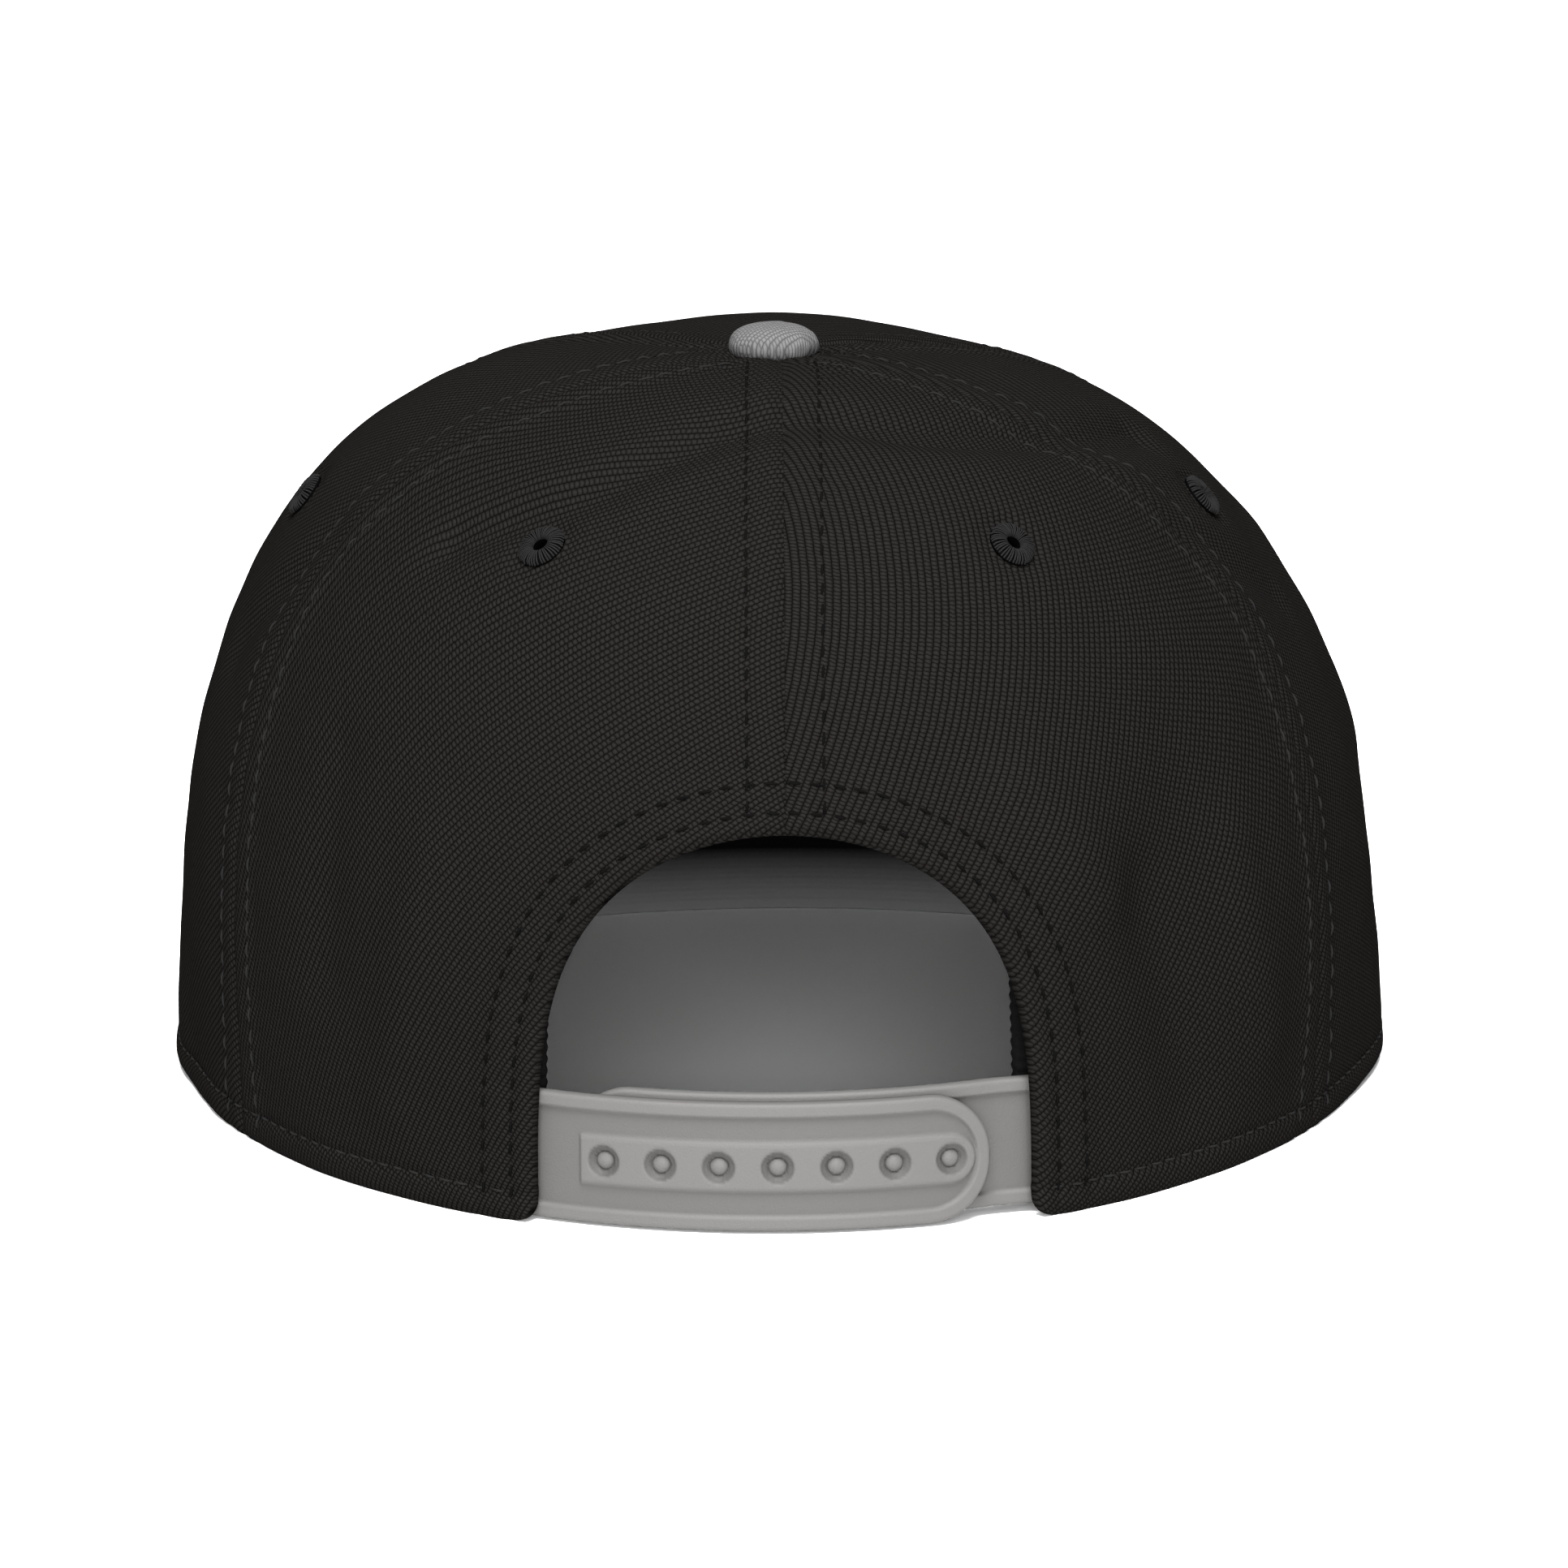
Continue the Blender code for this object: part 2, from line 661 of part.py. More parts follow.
def make_visor(collection):
    """Flat visor whose inner edge follows the front of the rim."""
    widest = 0.975
    columns = math.ceil(2.0 * VISOR_SPREAD / DEGREES_PER_COLUMN)

    def place(across, out):
        share = widest * (2.0 * across - 1.0)
        azimuth = 180.0 + VISOR_SPREAD * share
        normal = crown_normal(azimuth, 0.0)[0]
        normal.z = 0.0
        start = crown_point(azimuth, 0.0) + normal.normalized() * GAP
        point = start + normal.normalized() * visor_reach(share) * out
        point.z = 0.0
        return point

    obj = new_object("visor", grid_mesh("visor", 5, columns, place), collection)
    solidify(obj, VISOR_THICK)
    bevel = obj.modifiers.new("Bevel", 'BEVEL')
    bevel.width = VISOR_EDGE
    bevel.segments = 2
    bevel.limit_method = 'ANGLE'
    bevel.angle_limit = math.radians(60.0)
    return obj


def make_button(collection):
    """Covered button with its stem through the apex and the rivet that holds it inside."""
    radius = BUTTON_DIAMETER / 2.0
    stem = BUTTON_STEM / 2.0
    rivet = RIVET_DIAMETER / 2.0
    inside = -CLOTH - 3.0 * GAP
    profile = [
        (0.0, GAP + BUTTON_HEIGHT),
        (0.40 * radius, GAP + 0.96 * BUTTON_HEIGHT),
        (0.72 * radius, GAP + 0.80 * BUTTON_HEIGHT),
        (0.93 * radius, GAP + 0.52 * BUTTON_HEIGHT),
        (radius, GAP + 0.26 * BUTTON_HEIGHT),
        (0.95 * radius, GAP + 0.06 * BUTTON_HEIGHT),
        (0.88 * radius, GAP),
        (stem, GAP),
        (stem, inside),
        (rivet, inside),
        (rivet, inside - RIVET_THICK),
        (0.0, inside - RIVET_THICK),
    ]
    mesh = turned_mesh("crown_button", profile, 2 * ROUND_SIDES)
    apex = crown_point(0.0, 1.0)
    mesh.transform(Matrix.Translation(apex))
    return new_object("crown_button", mesh, collection)


def make_eyelet(name, azimuth, rise, collection):
    """Stitched eyelet: a barrel through the cloth with a round flange on each face."""
    bore = EYELET_BORE / 2.0
    barrel = bore + EYELET_BARREL
    outer = EYELET_OUTER / 2.0
    inner = 0.85 * outer
    top = GAP
    under = -CLOTH - EYELET_SEAT
    profile = (
        (bore, top + 0.3 * EYELET_FLANGE),
        (0.6 * (bore + outer), top + EYELET_FLANGE),
        (outer, top + 0.4 * EYELET_FLANGE),
        (outer, top),
        (barrel, top),
        (barrel, under),
        (inner, under),
        (inner, under - EYELET_FLANGE),
        (bore, under - EYELET_FLANGE),
    )
    mesh = turned_mesh(name, profile, ROUND_SIDES, closed=True)
    mesh.transform(eyelet_frame(azimuth, rise))
    return new_object(name, mesh, collection)


def finish_materials(collection):
    """Plain colours of the cloth, the grey trim, the strap and the sweatband."""
    looks = {
        "crown_cloth": ((0.014, 0.013, 0.012), 0.85),
        "sweatband_cloth": ((0.010, 0.010, 0.010), 0.90),
        "grey_cloth": ((0.300, 0.300, 0.305), 0.80),
        "strap_plastic": ((0.280, 0.280, 0.285), 0.55),
    }
    kinds = {
        "sweatband": "sweatband_cloth",
        "visor": "grey_cloth",
        "crown_button": "grey_cloth",
        "strap_socket_half": "strap_plastic",
        "strap_peg_half": "strap_plastic",
    }
    for obj in collection.objects:
        colour, roughness = looks[kinds.get(obj.name, "crown_cloth")]
        material = bpy.data.materials.new(obj.name + "_finish")
        material.use_nodes = True
        shader = material.node_tree.nodes["Principled BSDF"]
        shader.inputs["Base Color"].default_value = (*colour, 1.0)
        shader.inputs["Roughness"].default_value = roughness
        shader.inputs["Metallic"].default_value = 0.0
        obj.data.materials.clear()
        obj.data.materials.append(material)
        obj.data.shade_smooth()
        obj.data.set_sharp_from_angle(angle=math.radians(40.0))


def main():
    for obj in list(bpy.data.objects):
        bpy.data.objects.remove(obj)
    cap = bpy.data.collections.new("snapback_cap")
    cutters = bpy.data.collections.new("cutters")
    bpy.context.scene.collection.children.link(cap)
    bpy.context.scene.collection.children.link(cutters)
    sizes = strap_sizes()
    make_crown(cap, cutters)
    make_sweatband(cap, sizes)
    make_visor(cap)
    make_socket_half(cap, cutters, sizes)
    make_peg_half(cap, cutters, sizes)
    make_button(cap)
    for name, azimuth, rise in EYELETS:
        make_eyelet(name, azimuth, rise, cap)
    for obj in cutters.objects:
        obj.hide_render = True
        obj.display_type = 'WIRE'
    finish_materials(cap)


main()
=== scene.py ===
"""Look of the snapback cap, seen from behind as in the photograph.

The crown follows the same formula as the CAD, in metres: +Z up, the open back faces +Y,
+X is the wearer's left. A place on the crown is an azimuth in degrees (0 at the middle of
the back, 90 at the wearer's left) and a rise from 0 at the rim to 1 at the apex.
"""

import math

import bpy
import numpy as np
from mathutils import Matrix, Vector


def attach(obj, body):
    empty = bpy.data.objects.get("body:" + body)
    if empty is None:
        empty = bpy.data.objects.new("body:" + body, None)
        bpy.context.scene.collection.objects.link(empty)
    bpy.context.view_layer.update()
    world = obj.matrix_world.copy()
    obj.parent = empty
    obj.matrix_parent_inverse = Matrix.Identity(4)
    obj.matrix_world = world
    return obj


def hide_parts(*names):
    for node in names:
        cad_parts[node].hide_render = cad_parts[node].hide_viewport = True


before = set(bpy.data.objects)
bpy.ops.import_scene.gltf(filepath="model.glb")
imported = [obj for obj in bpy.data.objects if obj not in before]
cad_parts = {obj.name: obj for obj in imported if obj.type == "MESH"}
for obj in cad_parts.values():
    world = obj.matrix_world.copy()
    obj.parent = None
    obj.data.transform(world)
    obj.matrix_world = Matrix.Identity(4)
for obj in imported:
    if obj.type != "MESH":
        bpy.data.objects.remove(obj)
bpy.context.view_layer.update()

MM = 0.001

# Crown, as in the CAD
CROWN_WIDTH = 0.185
RIM_BACK = 0.1175
RIM_FRONT = 0.082
CROWN_HEIGHT = 0.1115
APEX_SETBACK = 0.032
FRONT_LIFT = 0.0036
CLOTH = 0.0018
GAP = 0.0003
BACK_SEAM = 58.0
FRONT_SEAM = 122.0
ARCH_WIDTH = 0.071
ARCH_HEIGHT = 0.0563
ARCH_SHIFT = -0.001
ARCH_SQUARENESS = 3.6
ARCH_CORNER = 0.003
TOP_RISE = 0.990
STRAP_HEIGHT = 0.0182
STRAP_THICK = 0.0012
STRAP_RELIEF = 0.0005
STRAP_LIFT = 0.0005
STRAP_CORNER = 0.0088
STRAP_TUCK = 0.013
STRAP_END = 0.0058
RAIL_WIDTH = 0.0020
BAND_HEIGHT = 0.0070
SNAP_PITCH = 0.00805
SNAP_COUNT = 7
PEG_RADIUS = 0.0014
COUNTERSINK = 0.0008
PEG_HALF_RISE = 0.0009
SWEATBAND_TALL = 0.0380
SWEATBAND_THICK = 0.0016
SWEATBAND_LIFT = 0.0006
BAND_SHOWS_LEFT = -0.0006
BAND_SHOWS_RIGHT = 0.0001
VISOR_LENGTH = 0.070
VISOR_THICK = 0.0036
VISOR_SPREAD = 61.0
BUTTON_RADIUS = 0.00675
BUTTON_HEIGHT = 0.0048
EYELET_OUTER = 0.0035
EYELET_BORE = 0.00125

SQUARENESS = ((0, 2.60), (60, 2.50), (90, 2.75), (120, 2.75), (180, 2.80))
BACK_SEAM_BOW = ((0.00, 1.00), (0.20, 1.08), (0.45, 1.15), (0.70, 1.05), (0.90, 0.91), (1.00, 0.80))
FRONT_SEAM_BOW = ((0.00, 1.00), (0.50, 0.99), (0.80, 0.97), (1.00, 0.93))
DENTS = (
    # azimuth, height share, azimuth reach, height reach, depth share
    (95, 0.95, 45, 0.22, 0.012),
    (-88, 0.74, 44, 0.27, -0.033),
    (0, 0.945, 60, 0.035, -0.008),
    (28, 0.86, 22, 0.05, -0.008),
    (-30, 0.47, 9, 0.14, 0.014),
    (-41, 0.40, 8, 0.22, -0.012),
    (-52, 0.34, 9, 0.22, 0.008),
    (38, 0.42, 14, 0.25, 0.007),
)
EYELETS = (
    # CAD node, azimuth, rise
    ("eyelet_back_left", 31.0, 0.566),
    ("eyelet_back_right", -32.0, 0.566),
    ("eyelet_side_left", 84.0, 0.51),
    ("eyelet_side_right", -79.0, 0.545),
)

STRAP_FULL = STRAP_THICK + STRAP_RELIEF
STRAP_INSET = CLOTH + GAP
STACK = STRAP_FULL + GAP
WIDEST_Y = (RIM_FRONT + GAP + VISOR_LENGTH - (RIM_BACK - STRAP_INSET)) / 2.0
SNAP_SPAN = SNAP_PITCH * (SNAP_COUNT - 1)
SNAP_Z = STRAP_LIFT + STRAP_HEIGHT / 2.0
HOLE_RADIUS = PEG_RADIUS + GAP

# Sewing
SEAM_ROW = 0.0053         # topstitch rows to each side of a seam
SEAM_GAP = 0.00006        # the sewn panels nearly touch
MIDDLE_X = -0.0014        # the middle seam is sewn a little to the wearer's right
ARCH_ROWS = (0.0028, 0.0067)
HEM_ROW = 0.0042
STITCH_PITCH = 0.0031
STITCH_LENGTH = 0.0027
THREAD_RADIUS = 0.00020
FRONT_THREAD_RADIUS = 0.00010
DARK_THREAD_RADIUS = 0.00023
# size of the black domes of painted shade at the needle holes of the dark rows
DARK_HOLE_SHADE_RADIUS = 0.00024
DARK_STITCH_LENGTH = 0.0022
SEAM_LAYER = 0.00034      # folded layers beside the seams,
ARCH_LAYER = 0.00050      # around the opening
HEM_LAYER = 0.00042       # and along the rim
SEAM_GROOVE = 0.00030
EDGE_DROP = 0.0010        # the cloth's edges round off by this much
EDGE_WIDTH = 0.0014
SEAM_LOW = 0.004          # rise at which the rows beside the seams start
VISOR_ROWS = (0.004, 0.010, 0.017, 0.024, 0.031, 0.038, 0.045, 0.052)

# Cloth panels, strap and sweatband
PANEL_ROWS = 190
PANEL_BULGE = 0.0004      # rounding of the panels' cut edges
RIB_TURN = 0.110          # length up a panel over which its ribs turn
EYELET_THREADS = 44
RING_DEPTH = 0.0004       # recess around each hole
PEG_SINK = 0.0005         # and its greater depth where the peg stands
BAND_RIB = 0.00022        # ribs of the sweatband
BAND_RIB_PITCH = 0.0018
BAND_RAISE = 0.0032       # the band's lower edge climbs this much at its two ends
BAND_FRONT_PAINTED_LIGHT = 0.15    # painted light: grey of the band's front at the rim, for the light through the opening
BAND_PAINTED_LIGHT_FADE = 0.0105        # height at which the painted light has faded

# Folds of the cloth that the photograph shows: a line from one place to another.
# The height is in metres above the rim. The depth is negative for a hollow, and the
# last two rows are soft swellings of the rim
FOLDS = (
    # azimuth, height, azimuth, height, half width, depth
    (-24, 0.060, -31, 0.045, 0.0060, 0.0014),
    (-36, 0.044, -40, 0.014, 0.0070, -0.0016),
    (-48, 0.046, -50, 0.018, 0.0060, 0.0011),
    (34, 0.050, 37, 0.014, 0.0050, 0.0007),
    (48, 0.060, 45, 0.030, 0.0050, -0.0007),
    (68, 0.085, 77, 0.066, 0.0045, -0.0008),
    (-66, 0.088, -80, 0.074, 0.0045, -0.0009),
    (-95, 0.080, -88, 0.050, 0.0070, 0.0010),
    (-95, 0.004, -80, 0.006, 0.0150, 0.0012),
    (95, 0.004, 80, 0.006, 0.0130, 0.0007),
)

# The long crease below the top: azimuth and rise of places along it
CREASE = ((45, 0.559), (38.8, 0.590), (33.5, 0.619), (27, 0.663), (20.8, 0.713), (12, 0.771),
          (4, 0.793), (-4, 0.804), (-14.8, 0.802), (-28.8, 0.769), (-41.2, 0.744), (-59, 0.707),
          (-82, 0.655))
CREASE_HALF = 0.0046
CREASE_DEPTH = 0.0019
BUTTON_SINK = 0.0009      # the cloth dips under the button
BUTTON_DIP = 0.011        # and this far around it

LAMPS = (
    # name, place, width, height, watts
    ("low", (0.0, 1.40, 0.22), 0.9, 0.26, 25.0),
    ("front", (0.0, 1.30, 0.60), 0.9, 0.36, 8.0),
    ("high", (0.0, 0.75, 1.55), 0.8, 0.8, 150.0),
    ("top", (0.0, -0.9, 2.4), 4.4, 4.4, 34.0),
)
LAMP_TARGET = (0.0, 0.05, 0.05)
SKY_STRENGTH = 0.10
FLOOR_SIZE = 12.0

CAMERA_ELEVATION = 12.5
CAMERA_ROLL = -0.35
CAMERA_DISTANCE = 1.0
CAMERA_TARGET = (-0.0012, 0.03445, 0.0423)
CAMERA_LENS = 150.4


def ease(share):
    """Smooth step from 0 to 1."""
    share = np.clip(share, 0.0, 1.0)
    return share * share * (3.0 - 2.0 * share)


def bell(value, width):
    """Smooth hump of height 1 around 0."""
    return np.exp(-(value / width) ** 2)


def table_value(rows, key):
    """Value at key on a smooth curve through rows of (key, value)."""
    keys = np.array([row[0] for row in rows], float)
    values = np.array([row[1] for row in rows], float)
    slopes = np.empty(len(rows))
    slopes[1:-1] = (values[2:] - values[:-2]) / (keys[2:] - keys[:-2])
    slopes[0] = (values[1] - values[0]) / (keys[1] - keys[0])
    slopes[-1] = (values[-1] - values[-2]) / (keys[-1] - keys[-2])
    key = np.clip(key, keys[0], keys[-1])
    index = np.clip(np.searchsorted(keys, key, side="right") - 1, 0, len(rows) - 2)
    step = keys[index + 1] - keys[index]
    share = (key - keys[index]) / step
    bend_a = share * (1.0 - share) ** 2 * step * slopes[index]
    bend_b = share ** 2 * (1.0 - share) * step * slopes[index + 1]
    return values[index] + (values[index + 1] - values[index]) * ease(share) + bend_a - bend_b


def wrap(azimuth):
    """The same azimuth between -180 and 180."""
    return (azimuth + 180.0) % 360.0 - 180.0


def unit(vectors):
    """The same vectors with a length of 1."""
    return vectors / np.maximum(np.linalg.norm(vectors, axis=-1, keepdims=True), 1e-12)


def crown(azimuth, rise):
    """Outer face of the crown."""
    azimuth, rise = np.broadcast_arrays(np.asarray(azimuth, float), np.asarray(rise, float))
    side = np.abs(wrap(azimuth))
    exponent = 2.0 / table_value(SQUARENESS, side)
    turn = np.radians(90.0 * np.clip(rise, 0.0, 1.0))
    reach = np.maximum(np.cos(turn), 0.0) ** exponent
    height = np.maximum(np.sin(turn), 0.0) ** exponent
    angle = np.radians(azimuth)
    x = CROWN_WIDTH / 2.0 * np.sin(angle)
    y = np.where(np.cos(angle) > 0, RIM_BACK, RIM_FRONT) * np.cos(angle)
    swell = np.zeros_like(reach)
    for centre, level, spread, tall, depth in DENTS:
        swell = swell + depth * bell(wrap(azimuth - centre), spread) * bell(height - level, tall)
    swell = CROWN_HEIGHT * swell * ease(height / 0.15) * ease(reach / 0.35)
    front = ease((side - 0.97 * FRONT_SEAM) / (180.0 - 0.97 * FRONT_SEAM))
    bulge = (1.0 - (1.0 - reach) ** 2) * height
    bulge = bulge * np.maximum(np.sin(np.pi * reach), 0.0) ** 1.2
    lean = 1.0 - 0.5 * height
    return np.stack([
        x * reach + swell * np.sin(angle) * lean,
        WIDEST_Y + APEX_SETBACK + (y - APEX_SETBACK) * reach + swell * np.cos(angle) * lean,
        CROWN_HEIGHT * height + FRONT_LIFT * front * bulge + 0.8 * height * swell,
    ], axis=-1)


def crown_frame(azimuth, rise):
    """Outward normal, and the metres for one degree of azimuth and for one unit of rise."""
    rise = np.clip(rise, 0.004, 0.985)
    across = crown(azimuth + 0.5, rise) - crown(azimuth - 0.5, rise)
    up = (crown(azimuth, rise + 0.004) - crown(azimuth, rise - 0.004)) / 0.008
    return unit(np.cross(up, across)), np.linalg.norm(across, axis=-1), np.linalg.norm(up, axis=-1)


def rise_at_height(azimuth, height):
    """Rise of the plain crown at a height above the rim."""
    exponent = table_value(SQUARENESS, np.abs(wrap(azimuth))) / 2.0
    return np.degrees(np.arcsin(np.clip(height / CROWN_HEIGHT, 0.0, 1.0) ** exponent)) / 90.0


def wall_point(azimuth, height, inset):
    """Point of the upright wall at a height, moved inward from its outer face."""
    rise = rise_at_height(azimuth, height)
    normal = crown_frame(azimuth, rise)[0].copy()
    normal[..., 2] = 0.0
    point = crown(azimuth, rise) - unit(normal) * np.asarray(inset)[..., None]
    point[..., 2] = height
    return point


def on_back(x, z):
    """Azimuth and rise of the places on the back of the crown at x and z."""
    azimuth = np.degrees(np.arcsin(np.clip(x / (CROWN_WIDTH / 2.0), -0.9, 0.9)))
    rise = rise_at_height(azimuth, z)
    for _ in range(10):
        off = np.stack([x, z], -1) - crown(azimuth, rise)[..., [0, 2]]
        across = ((crown(azimuth + 0.2, rise) - crown(azimuth - 0.2, rise)) / 0.4)[..., [0, 2]]
        up = crown(azimuth, rise + 0.002) - crown(azimuth, np.maximum(rise - 0.002, 0.0))
        up = (up / (rise + 0.002 - np.maximum(rise - 0.002, 0.0))[..., None])[..., [0, 2]]
        area = across[..., 0] * up[..., 1] - across[..., 1] * up[..., 0]
        azimuth = azimuth + (off[..., 0] * up[..., 1] - off[..., 1] * up[..., 0]) / area
        rise = rise + (across[..., 0] * off[..., 1] - across[..., 1] * off[..., 0]) / area
        rise = np.clip(rise, 0.0, 0.9)
    return azimuth, rise


def seam_line(seam, rise):
    """Azimuth of a seam at a rise."""
    rows = FRONT_SEAM_BOW if abs(seam) == FRONT_SEAM else BACK_SEAM_BOW
    return seam * table_value(rows, rise)


def middle_x(width):
    """Side place of the middle seam, which runs to the apex. width is metres a degree."""
    return MIDDLE_X * ease(np.degrees(width) / 0.014)


def seam_slope(seam, rise, width, climb):
    """Degrees of azimuth for one metre square to a seam."""
    slope = (seam_line(seam, rise + 0.01) - seam_line(seam, rise - 0.01)) / 0.02
    return np.sqrt(1.0 / width ** 2 + (slope / climb) ** 2)


def arch_distance(azimuth, point):
    """Distance outward from the edge of the rear opening, far away elsewhere."""
    x = np.abs(point[..., 0] - ARCH_SHIFT)
    z = np.maximum(point[..., 2], 0.0)
    half = ARCH_WIDTH / 2.0
    level = (x / half) ** 2 + (z / ARCH_HEIGHT) ** ARCH_SQUARENESS - 1.0
    steep_x = 2.0 * x / half ** 2
    steep_z = ARCH_SQUARENESS * (z / ARCH_HEIGHT) ** (ARCH_SQUARENESS - 1.0) / ARCH_HEIGHT
    distance = level / np.maximum(np.hypot(steep_x, steep_z), 1.0)
    return np.where(np.abs(wrap(azimuth)) < 70.0, distance, 1.0)


def waves(point, length, seed):
    """Gentle irregular waves of about one unit, with features of the given length."""
    random = np.random.default_rng(seed)
    total = 0.0
    for _ in range(12):
        direction = random.normal(size=3)
        direction /= np.linalg.norm(direction)
        pace = 2.0 * math.pi / length * random.uniform(0.6, 1.5)
        total = total + np.sin(point @ direction * pace + random.uniform(0.0, 2.0 * math.pi))
    return total / 12.0 ** 0.5


def fold_places():
    """Places along each fold, close together, with its half width and depth at each."""
    places = []
    for azimuth_a, height_a, azimuth_b, height_b, half, depth in FOLDS:
        share = np.linspace(0.0, 1.0, 30)
        azimuth = azimuth_a + (azimuth_b - azimuth_a) * share
        rise = rise_at_height(azimuth, height_a + (height_b - height_a) * share)
        places.append((crown(azimuth, rise), half, depth))
    line = np.array(CREASE)
    azimuth = np.linspace(line[0, 0], line[-1, 0], 130)
    rise = np.interp(-azimuth, -line[:, 0], line[:, 1])
    places.append((crown(azimuth, rise), CREASE_HALF, -CREASE_DEPTH))
    return places


FOLD_PLACES = fold_places()


def relief(azimuth, rise):
    """How far the cloth stands out from the CAD's face: seams, hems, folds and puckers."""
    point = crown(azimuth, rise)
    _, width, climb = crown_frame(azimuth, rise)
    height = point[..., 2]
    layers = np.zeros_like(height)
    out = 0.00022 * waves(point, 0.042, 5) + 0.00007 * waves(point, 0.014, 6)
    for seam in (0.0, BACK_SEAM, -BACK_SEAM, FRONT_SEAM, -FRONT_SEAM):
        off = np.abs(wrap(azimuth - seam_line(seam, rise))) / seam_slope(seam, rise, width, climb)
        if seam == 0.0:
            off = np.abs(point[..., 0] - middle_x(width))
            off = np.where(np.abs(wrap(azimuth)) < 90.0, off, 1.0)
        layers = np.maximum(layers, SEAM_LAYER * ease((SEAM_ROW + 0.0022 - off) / 0.0024))
        out = out - SEAM_GROOVE * bell(off, 0.0008) - 0.00014 * bell(off - SEAM_ROW, 0.0007)
        out = out + 0.00010 * bell(off - 0.0022, 0.0013)
        pull = np.sin(2.0 * math.pi * (rise * climb + 0.004 * waves(point, 0.03, 7)) / 0.0068)
        pucker = 0.00010 if abs(seam) < 90.0 else 0.00004
        out = out + pucker * pull * bell(off - 0.0062, 0.0032)
    arch = arch_distance(azimuth, point)
    layers = np.maximum(layers, ARCH_LAYER * ease((ARCH_ROWS[1] + 0.0014 - arch) / 0.0014))
    for row in ARCH_ROWS:
        out = out - 0.00026 * bell(arch - row, 0.0006)
    out = out + 0.00012 * np.sin(2.0 * math.pi * waves(point, 0.02, 8)) * bell(arch - 0.0048, 0.002)
    out = out - EDGE_DROP * np.clip(1.0 - np.maximum(arch, 0.0) / EDGE_WIDTH, 0.0, 1.0) ** 2
    layers = np.maximum(layers, HEM_LAYER * ease((HEM_ROW + 0.0004 - height) / 0.0010))
    out = out - 0.00040 * bell(height - HEM_ROW, 0.0006)
    out = out - EDGE_DROP * np.clip(1.0 - height / EDGE_WIDTH, 0.0, 1.0) ** 2
    for places, half, depth in FOLD_PLACES:
        miss = np.full(height.shape, 1.0)
        for place in places:
            miss = np.minimum(miss, np.linalg.norm(point - place, axis=-1))
        out = out + depth * bell(miss, half)
    for _, azimuth_e, rise_e in EYELETS:
        off = np.linalg.norm(point - crown(azimuth_e, rise_e), axis=-1)
        out = out - 0.00045 * bell(off - 0.0042, 0.0014)
    rim = ease(height / 0.002) * 0.5 + 0.5
    dimple = BUTTON_SINK * bell(np.linalg.norm(point - crown(0.0, 1.0), axis=-1), BUTTON_DIP)
    return (out + layers) * rim * ease((1.0 - rise) / 0.02) - dimple


def cloth(azimuth, rise):
    """Outer face of the crown's cloth with its relief, and the normal."""
    normal = crown_frame(azimuth, rise)[0]
    return crown(azimuth, rise) + normal * relief(azimuth, rise)[..., None], normal


# Meshes from grids of points


def grid_faces(rows, columns, start=0, closed=False):
    """Quads between the points of a grid. A closed one joins its last column to its first."""
    index = start + np.arange(rows * columns).reshape(rows, columns)
    if closed:
        index = np.hstack([index, index[:, :1]])
    corners = [index[:-1, :-1], index[1:, :-1], index[1:, 1:], index[:-1, 1:]]
    return np.stack(corners, -1).reshape(-1, 4)


def edge_ring(index):
    """Indices around the border of a grid."""
    return np.concatenate([index[0, :], index[1:, -1], index[-1, -2::-1], index[-2:0:-1, 0]])


def shell(outer, inner, bulge):
    """Closed wall between two grids of points, with a rounded edge all the way around."""
    rows, columns = outer.shape[:2]
    count = rows * columns
    index = np.arange(count).reshape(rows, columns)
    inside = index.copy()
    inside[0, :], inside[-1, :] = index[1, :], index[-2, :]
    inside[1:-1, 0], inside[1:-1, -1] = index[1:-1, 1], index[1:-1, -2]
    ring, near = edge_ring(index), edge_ring(inside)
    outer, inner = outer.reshape(-1, 3), inner.reshape(-1, 3)
    middle = (outer[ring] + inner[ring]) / 2.0 + unit(outer[ring] - outer[near]) * bulge
    loop = 2 * count + np.arange(len(ring))
    faces = [grid_faces(rows, columns), grid_faces(rows, columns, count)[:, ::-1]]
    for first, second in ((ring, loop), (loop, count + ring)):
        faces.append(np.stack([first, np.roll(first, -1), np.roll(second, -1), second], -1))
    return np.concatenate([outer, inner, middle]), np.concatenate(faces), ring


def lathe(profile, sides):
    """Surface turned about Z from (radius, height) rows that run from the top centre down."""
    angles = np.arange(sides) * 2.0 * math.pi / sides
    profile = np.asarray(profile, float)
    points = np.stack([
        profile[:, :1] * np.cos(angles),
        profile[:, :1] * np.sin(angles),
        np.repeat(profile[:, 1:], sides, axis=1),
    ], -1)
    return points, grid_faces(len(profile), sides, closed=True)


def tubes(centres, normals, radii, sides=6):
    """Round threads along rows of centres, all in one mesh."""
    count, rings = centres.shape[:2]
    tangent = unit(np.gradient(centres, axis=1))
    binormal = unit(np.cross(tangent, normals))
    normal = np.cross(binormal, tangent)
    angle = np.arange(sides) * 2.0 * math.pi / sides
    points = centres[:, :, None] + radii[:, :, None, None] * (
        np.cos(angle)[:, None] * normal[:, :, None] + np.sin(angle)[:, None] * binormal[:, :, None])
    faces = grid_faces(rings, sides, closed=True)
    faces = (np.arange(count)[:, None, None] * rings * sides + faces).reshape(-1, 4)
    return points.reshape(-1, 3), faces


